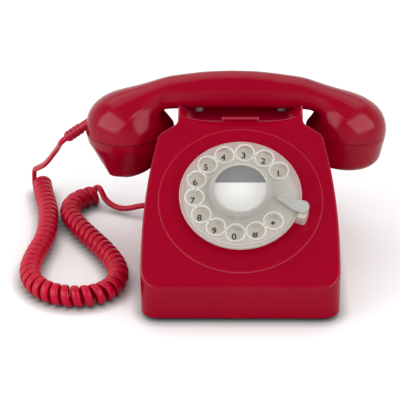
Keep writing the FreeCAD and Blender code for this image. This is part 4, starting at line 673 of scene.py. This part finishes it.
@dataclass
class Dial:
    """The dial's prints: numerals on the fixed plate under the finger holes, and the label.

    Places are in the dial's own frame, with Z out of the dial. The shift moves the whole ring of
    numerals over the plate.
    """

    wardrobe: Wardrobe
    middle: Point = DIAL_MIDDLE
    slope_deg: float = DIAL_SLOPE_DEG
    plate_height: float = 5.6
    numeral_radius: float = 33.2
    first_deg: float = 33.0
    step_deg: float = 25.67
    numerals: str = "1234567890#*"
    numeral_size: float = 6.6
    ink_depth: float = 0.05
    boldness: float = 0.18
    shift: tuple[float, float] = (-0.9, 0.2)
    print_radius: float = 18.4
    print_heights: tuple[float, float] = (16.62, 16.66)
    print_sides: int = 96

    def frame_matrix(self) -> Matrix:
        """Turn millimetres in the dial's own frame into metres in the telephone's.

        Returns:
            The matrix that does it.
        """
        place = Matrix.Translation(Vector(self.middle) * MM)
        tilt = Matrix.Rotation(math.radians(self.slope_deg), 4, "X")
        return place @ tilt @ Matrix.Scale(MM, 4)

    def numeral(self, index: int, sign: str) -> bpy.types.Object:
        """Print one numeral.

        Args:
            index: Its place, counted from the first hole.
            sign: The character.

        Returns:
            The numeral's mesh.
        """
        text = bpy.data.curves.new(f"numeral_text_{index}", "FONT")
        text.body = sign
        text.size = self.numeral_size
        text.align_x = "CENTER"
        text.align_y = "CENTER"
        text.bevel_depth = self.boldness
        text.bevel_resolution = 0
        mesh = curve_mesh(text)
        angle = math.radians(self.first_deg + self.step_deg * index)
        spot = Vector((self.numeral_radius * math.cos(angle) + self.shift[0],
                       self.numeral_radius * math.sin(angle) + self.shift[1],
                       self.plate_height + self.ink_depth / 2))
        flatten = Matrix.Scale(self.ink_depth / (2 * self.boldness), 4, (0.0, 0.0, 1.0))
        mesh.transform(self.frame_matrix() @ Matrix.Translation(spot) @ flatten)
        piece = bpy.data.objects.new(f"numeral_{index + 1}", mesh)
        bpy.context.scene.collection.objects.link(piece)
        self.wardrobe.dress(piece, NUMERAL_INK)
        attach(piece, Body.BASE.value)
        return piece

    def label_print(self) -> bpy.types.Object:
        """Print the two fields on the card's upper side, just inside its cover.

        Returns:
            The print, a very thin disc.
        """
        count = self.print_sides
        radius = self.print_radius
        place = self.frame_matrix()
        turns = [2 * math.pi * step / count for step in range(count)]
        vertices = [place @ Vector((radius * math.cos(turn), radius * math.sin(turn), height))
                    for height in self.print_heights for turn in turns]
        faces: list[Sequence[int]] = [tuple(range(count - 1, -1, -1)),
                                      tuple(range(count, 2 * count))]
        for step in range(count):
            beside = (step + 1) % count
            faces.append((step, beside, count + beside, count + step))
        piece = new_mesh("label_print", vertices, faces)
        self.wardrobe.dress(piece, CARD)
        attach(piece, Body.DIAL.value)
        return piece

    def build(self) -> list[bpy.types.Object]:
        """Print every numeral and the label."""
        numerals = [self.numeral(index, sign) for index, sign in enumerate(self.numerals)]
        return numerals + [self.label_print()]


@dataclass(frozen=True)
class Lamp:
    """A soft studio lamp: its place, what it looks at, its size in metres and its power in watts.

    One that only shows is a bright board for the glossy pieces to reflect, and one that only lights
    is kept out of their reflections.
    """

    kind: Light
    place: Point
    target: Point
    width: float
    height: float
    power: float
    lights: bool = True
    shows: bool = True

    def build(self) -> bpy.types.Object:
        """Hang the lamp.

        Returns:
            The lamp.
        """
        data = bpy.data.lights.new(self.kind.value, "AREA")
        data.shape = "RECTANGLE"
        data.size = self.width
        data.size_y = self.height
        data.energy = self.power
        lamp = bpy.data.objects.new(self.kind.value, data)
        lamp.location = self.place
        lamp.visible_diffuse = self.lights
        lamp.visible_glossy = self.shows
        way = Vector(self.target) - Vector(self.place)
        lamp.rotation_euler = way.to_track_quat("-Z", "Y").to_euler()
        bpy.context.scene.collection.objects.link(lamp)
        return lamp


@dataclass
class Studio:
    """A white table and room, soft lamps and the camera at the photograph's angle.

    The floor's half width and how far the camera sees are in metres.
    """

    frame_px: float = 400.0
    focal_px: float = 1772.6
    elevation_deg: float = 27.0
    distance: float = 1300.0
    aim: Point = (0.0, 0.0, 60.0)
    aim_px: tuple[float, float] = (240.4, 181.1)
    sensor: float = 36.0
    sight: float = 50.0
    floor_half: float = 6.0
    floor_roughness: float = 0.8
    floor_white: float = 0.92
    floor_bounce: float = 0.45
    floor_glow: float = 0.12
    contact_shadow_mm: float = 10.0
    contact_shadow_power: float = 1.1
    room_low: float = 0.3
    room_high: float = 0.85
    ceiling: float = 0.06
    ceiling_rise: tuple[float, float] = (0.12, 0.65)
    lamps: tuple[Lamp, ...] = (
        Lamp(Light.LEFT, (-1.06, -0.56, 0.32), LAMP_AIM, 1.1, 0.8, 7.5, shows=False),
        Lamp(Light.RIGHT, (0.7, -0.9, 0.48), LAMP_AIM, 0.45, 0.6, 5.0, shows=False),
        Lamp(Light.BACK, (0.0, 0.9, 1.2), LAMP_AIM, 2.0, 1.0, 8.0),
        Lamp(Light.LEFT_CARD, (-1.0, -0.5, 0.9), LAMP_AIM, 1.7, 1.1, 28.0, lights=False),
        Lamp(Light.RIGHT_CARD, (1.0, -0.5, 0.9), LAMP_AIM, 1.7, 1.1, 28.0, lights=False),
    )

    def camera(self) -> bpy.types.Object:
        """Stand the camera where the photograph was taken from.

        Returns:
            The camera.
        """
        rise = math.radians(self.elevation_deg)
        aim = Vector(self.aim) * MM
        place = aim + Vector((0.0, -math.cos(rise), math.sin(rise))) * (self.distance * MM)
        data = bpy.data.cameras.new("photograph_view")
        data.sensor_width = self.sensor
        data.lens = self.focal_px / self.frame_px * self.sensor
        data.clip_end = self.sight
        camera = bpy.data.objects.new("photograph_view", data)
        level = Matrix.Rotation(math.pi / 2 - rise, 4, "X")
        middle = self.frame_px / 2
        pan = Matrix.Rotation(math.atan((self.aim_px[0] - middle) / self.focal_px), 4, "Y")
        tilt = Matrix.Rotation(-math.atan((middle - self.aim_px[1]) / self.focal_px), 4, "X")
        camera.matrix_world = Matrix.Translation(place) @ level @ pan @ tilt
        bpy.context.scene.collection.objects.link(camera)
        bpy.context.scene.camera = camera
        return camera

    def floor(self) -> bpy.types.Object:
        """Lay the white table, with a painted shadow near the pieces on it.

        Returns:
            The floor.
        """
        half = self.floor_half
        corners = [(-half, -half, 0), (half, -half, 0), (half, half, 0), (-half, half, 0)]
        floor = new_mesh("floor", corners, [(0, 1, 2, 3)])
        material = bpy.data.materials.new("paper_matt_white")
        material.use_nodes = True
        tree = material.node_tree
        shader = tree.nodes["Principled BSDF"]
        shader.inputs["Roughness"].default_value = self.floor_roughness
        seen = self.seen(tree)
        # Painted shadow: the floor's colour and glow are darkened near the pieces on it, deeper
        # than the lamps' own shadows.
        contact = combine(tree, "POWER", openness(tree, self.contact_shadow_mm * MM), self.contact_shadow_power)
        paper = map_range(tree, seen, self.floor_bounce, self.floor_white)
        tree.links.new(combine(tree, "MULTIPLY", paper, contact), shader.inputs["Base Color"])
        bright = combine(tree, "MULTIPLY", seen, contact)
        strength = combine(tree, "MULTIPLY", bright, self.floor_glow)
        glow = add_node(tree, "ShaderNodeEmission", {"Color": WHITE}, {"Strength": strength})
        both = add_node(tree, "ShaderNodeAddShader", {}, {0: shader.outputs[0], 1: glow.outputs[0]})
        tree.links.new(both.outputs[0], tree.nodes["Material Output"].inputs["Surface"])
        floor.data.materials.append(material)
        return floor

    @staticmethod
    def seen(tree: Tree) -> Socket:
        """Tell what is looked at, straight, mirrored or through glass, from what only gives light.

        Args:
            tree: The nodes of the floor or the room.

        Returns:
            A socket that is 1 for what is looked at.
        """
        rays = add_node(tree, "ShaderNodeLightPath").outputs
        direct = combine(tree, "MAXIMUM", rays["Is Camera Ray"], rays["Is Transmission Ray"])
        return combine(tree, "MAXIMUM", direct, rays["Is Glossy Ray"])

    def world(self) -> None:
        """Light the room from above, and show white walls under a dark ceiling."""
        world = bpy.data.worlds.new("white_room")
        bpy.context.scene.world = world
        world.use_nodes = True
        tree = world.node_tree
        background = tree.nodes["Background"]
        background.inputs["Color"].default_value = WHITE
        way = add_node(tree, "ShaderNodeTexCoord").outputs["Generated"]
        rise = add_node(tree, "ShaderNodeSeparateXYZ", {}, {"Vector": way}).outputs["Z"]
        light = map_range(tree, rise, self.room_low, self.room_high)
        shown = map_range(tree, rise, 1.0, self.ceiling, self.ceiling_rise)
        strength = add_node(tree, "ShaderNodeMapRange", {},
                            {"Value": self.seen(tree), "To Min": light, "To Max": shown})
        tree.links.new(strength.outputs["Result"], background.inputs["Strength"])

    def build(self) -> None:
        """Set up the table, the light and the camera."""
        self.camera()
        self.floor()
        self.world()
        for lamp in self.lamps:
            lamp.build()
        bpy.context.scene.view_settings.view_transform = "Standard"


def main() -> None:
    """Build the telephone's dressing and the studio."""
    logging.basicConfig(level=logging.INFO, format="%(name)s: %(message)s")
    wardrobe = Wardrobe()
    Studio().build()
    LOG.info("studio ready")
    wardrobe.dress_nodes()
    cord = CurlyCord(wardrobe).build()
    LOG.info("built %s", cord.name)
    for printed in Dial(wardrobe).build():
        LOG.info("built %s", printed.name)


if __name__ == "__main__":
    main()
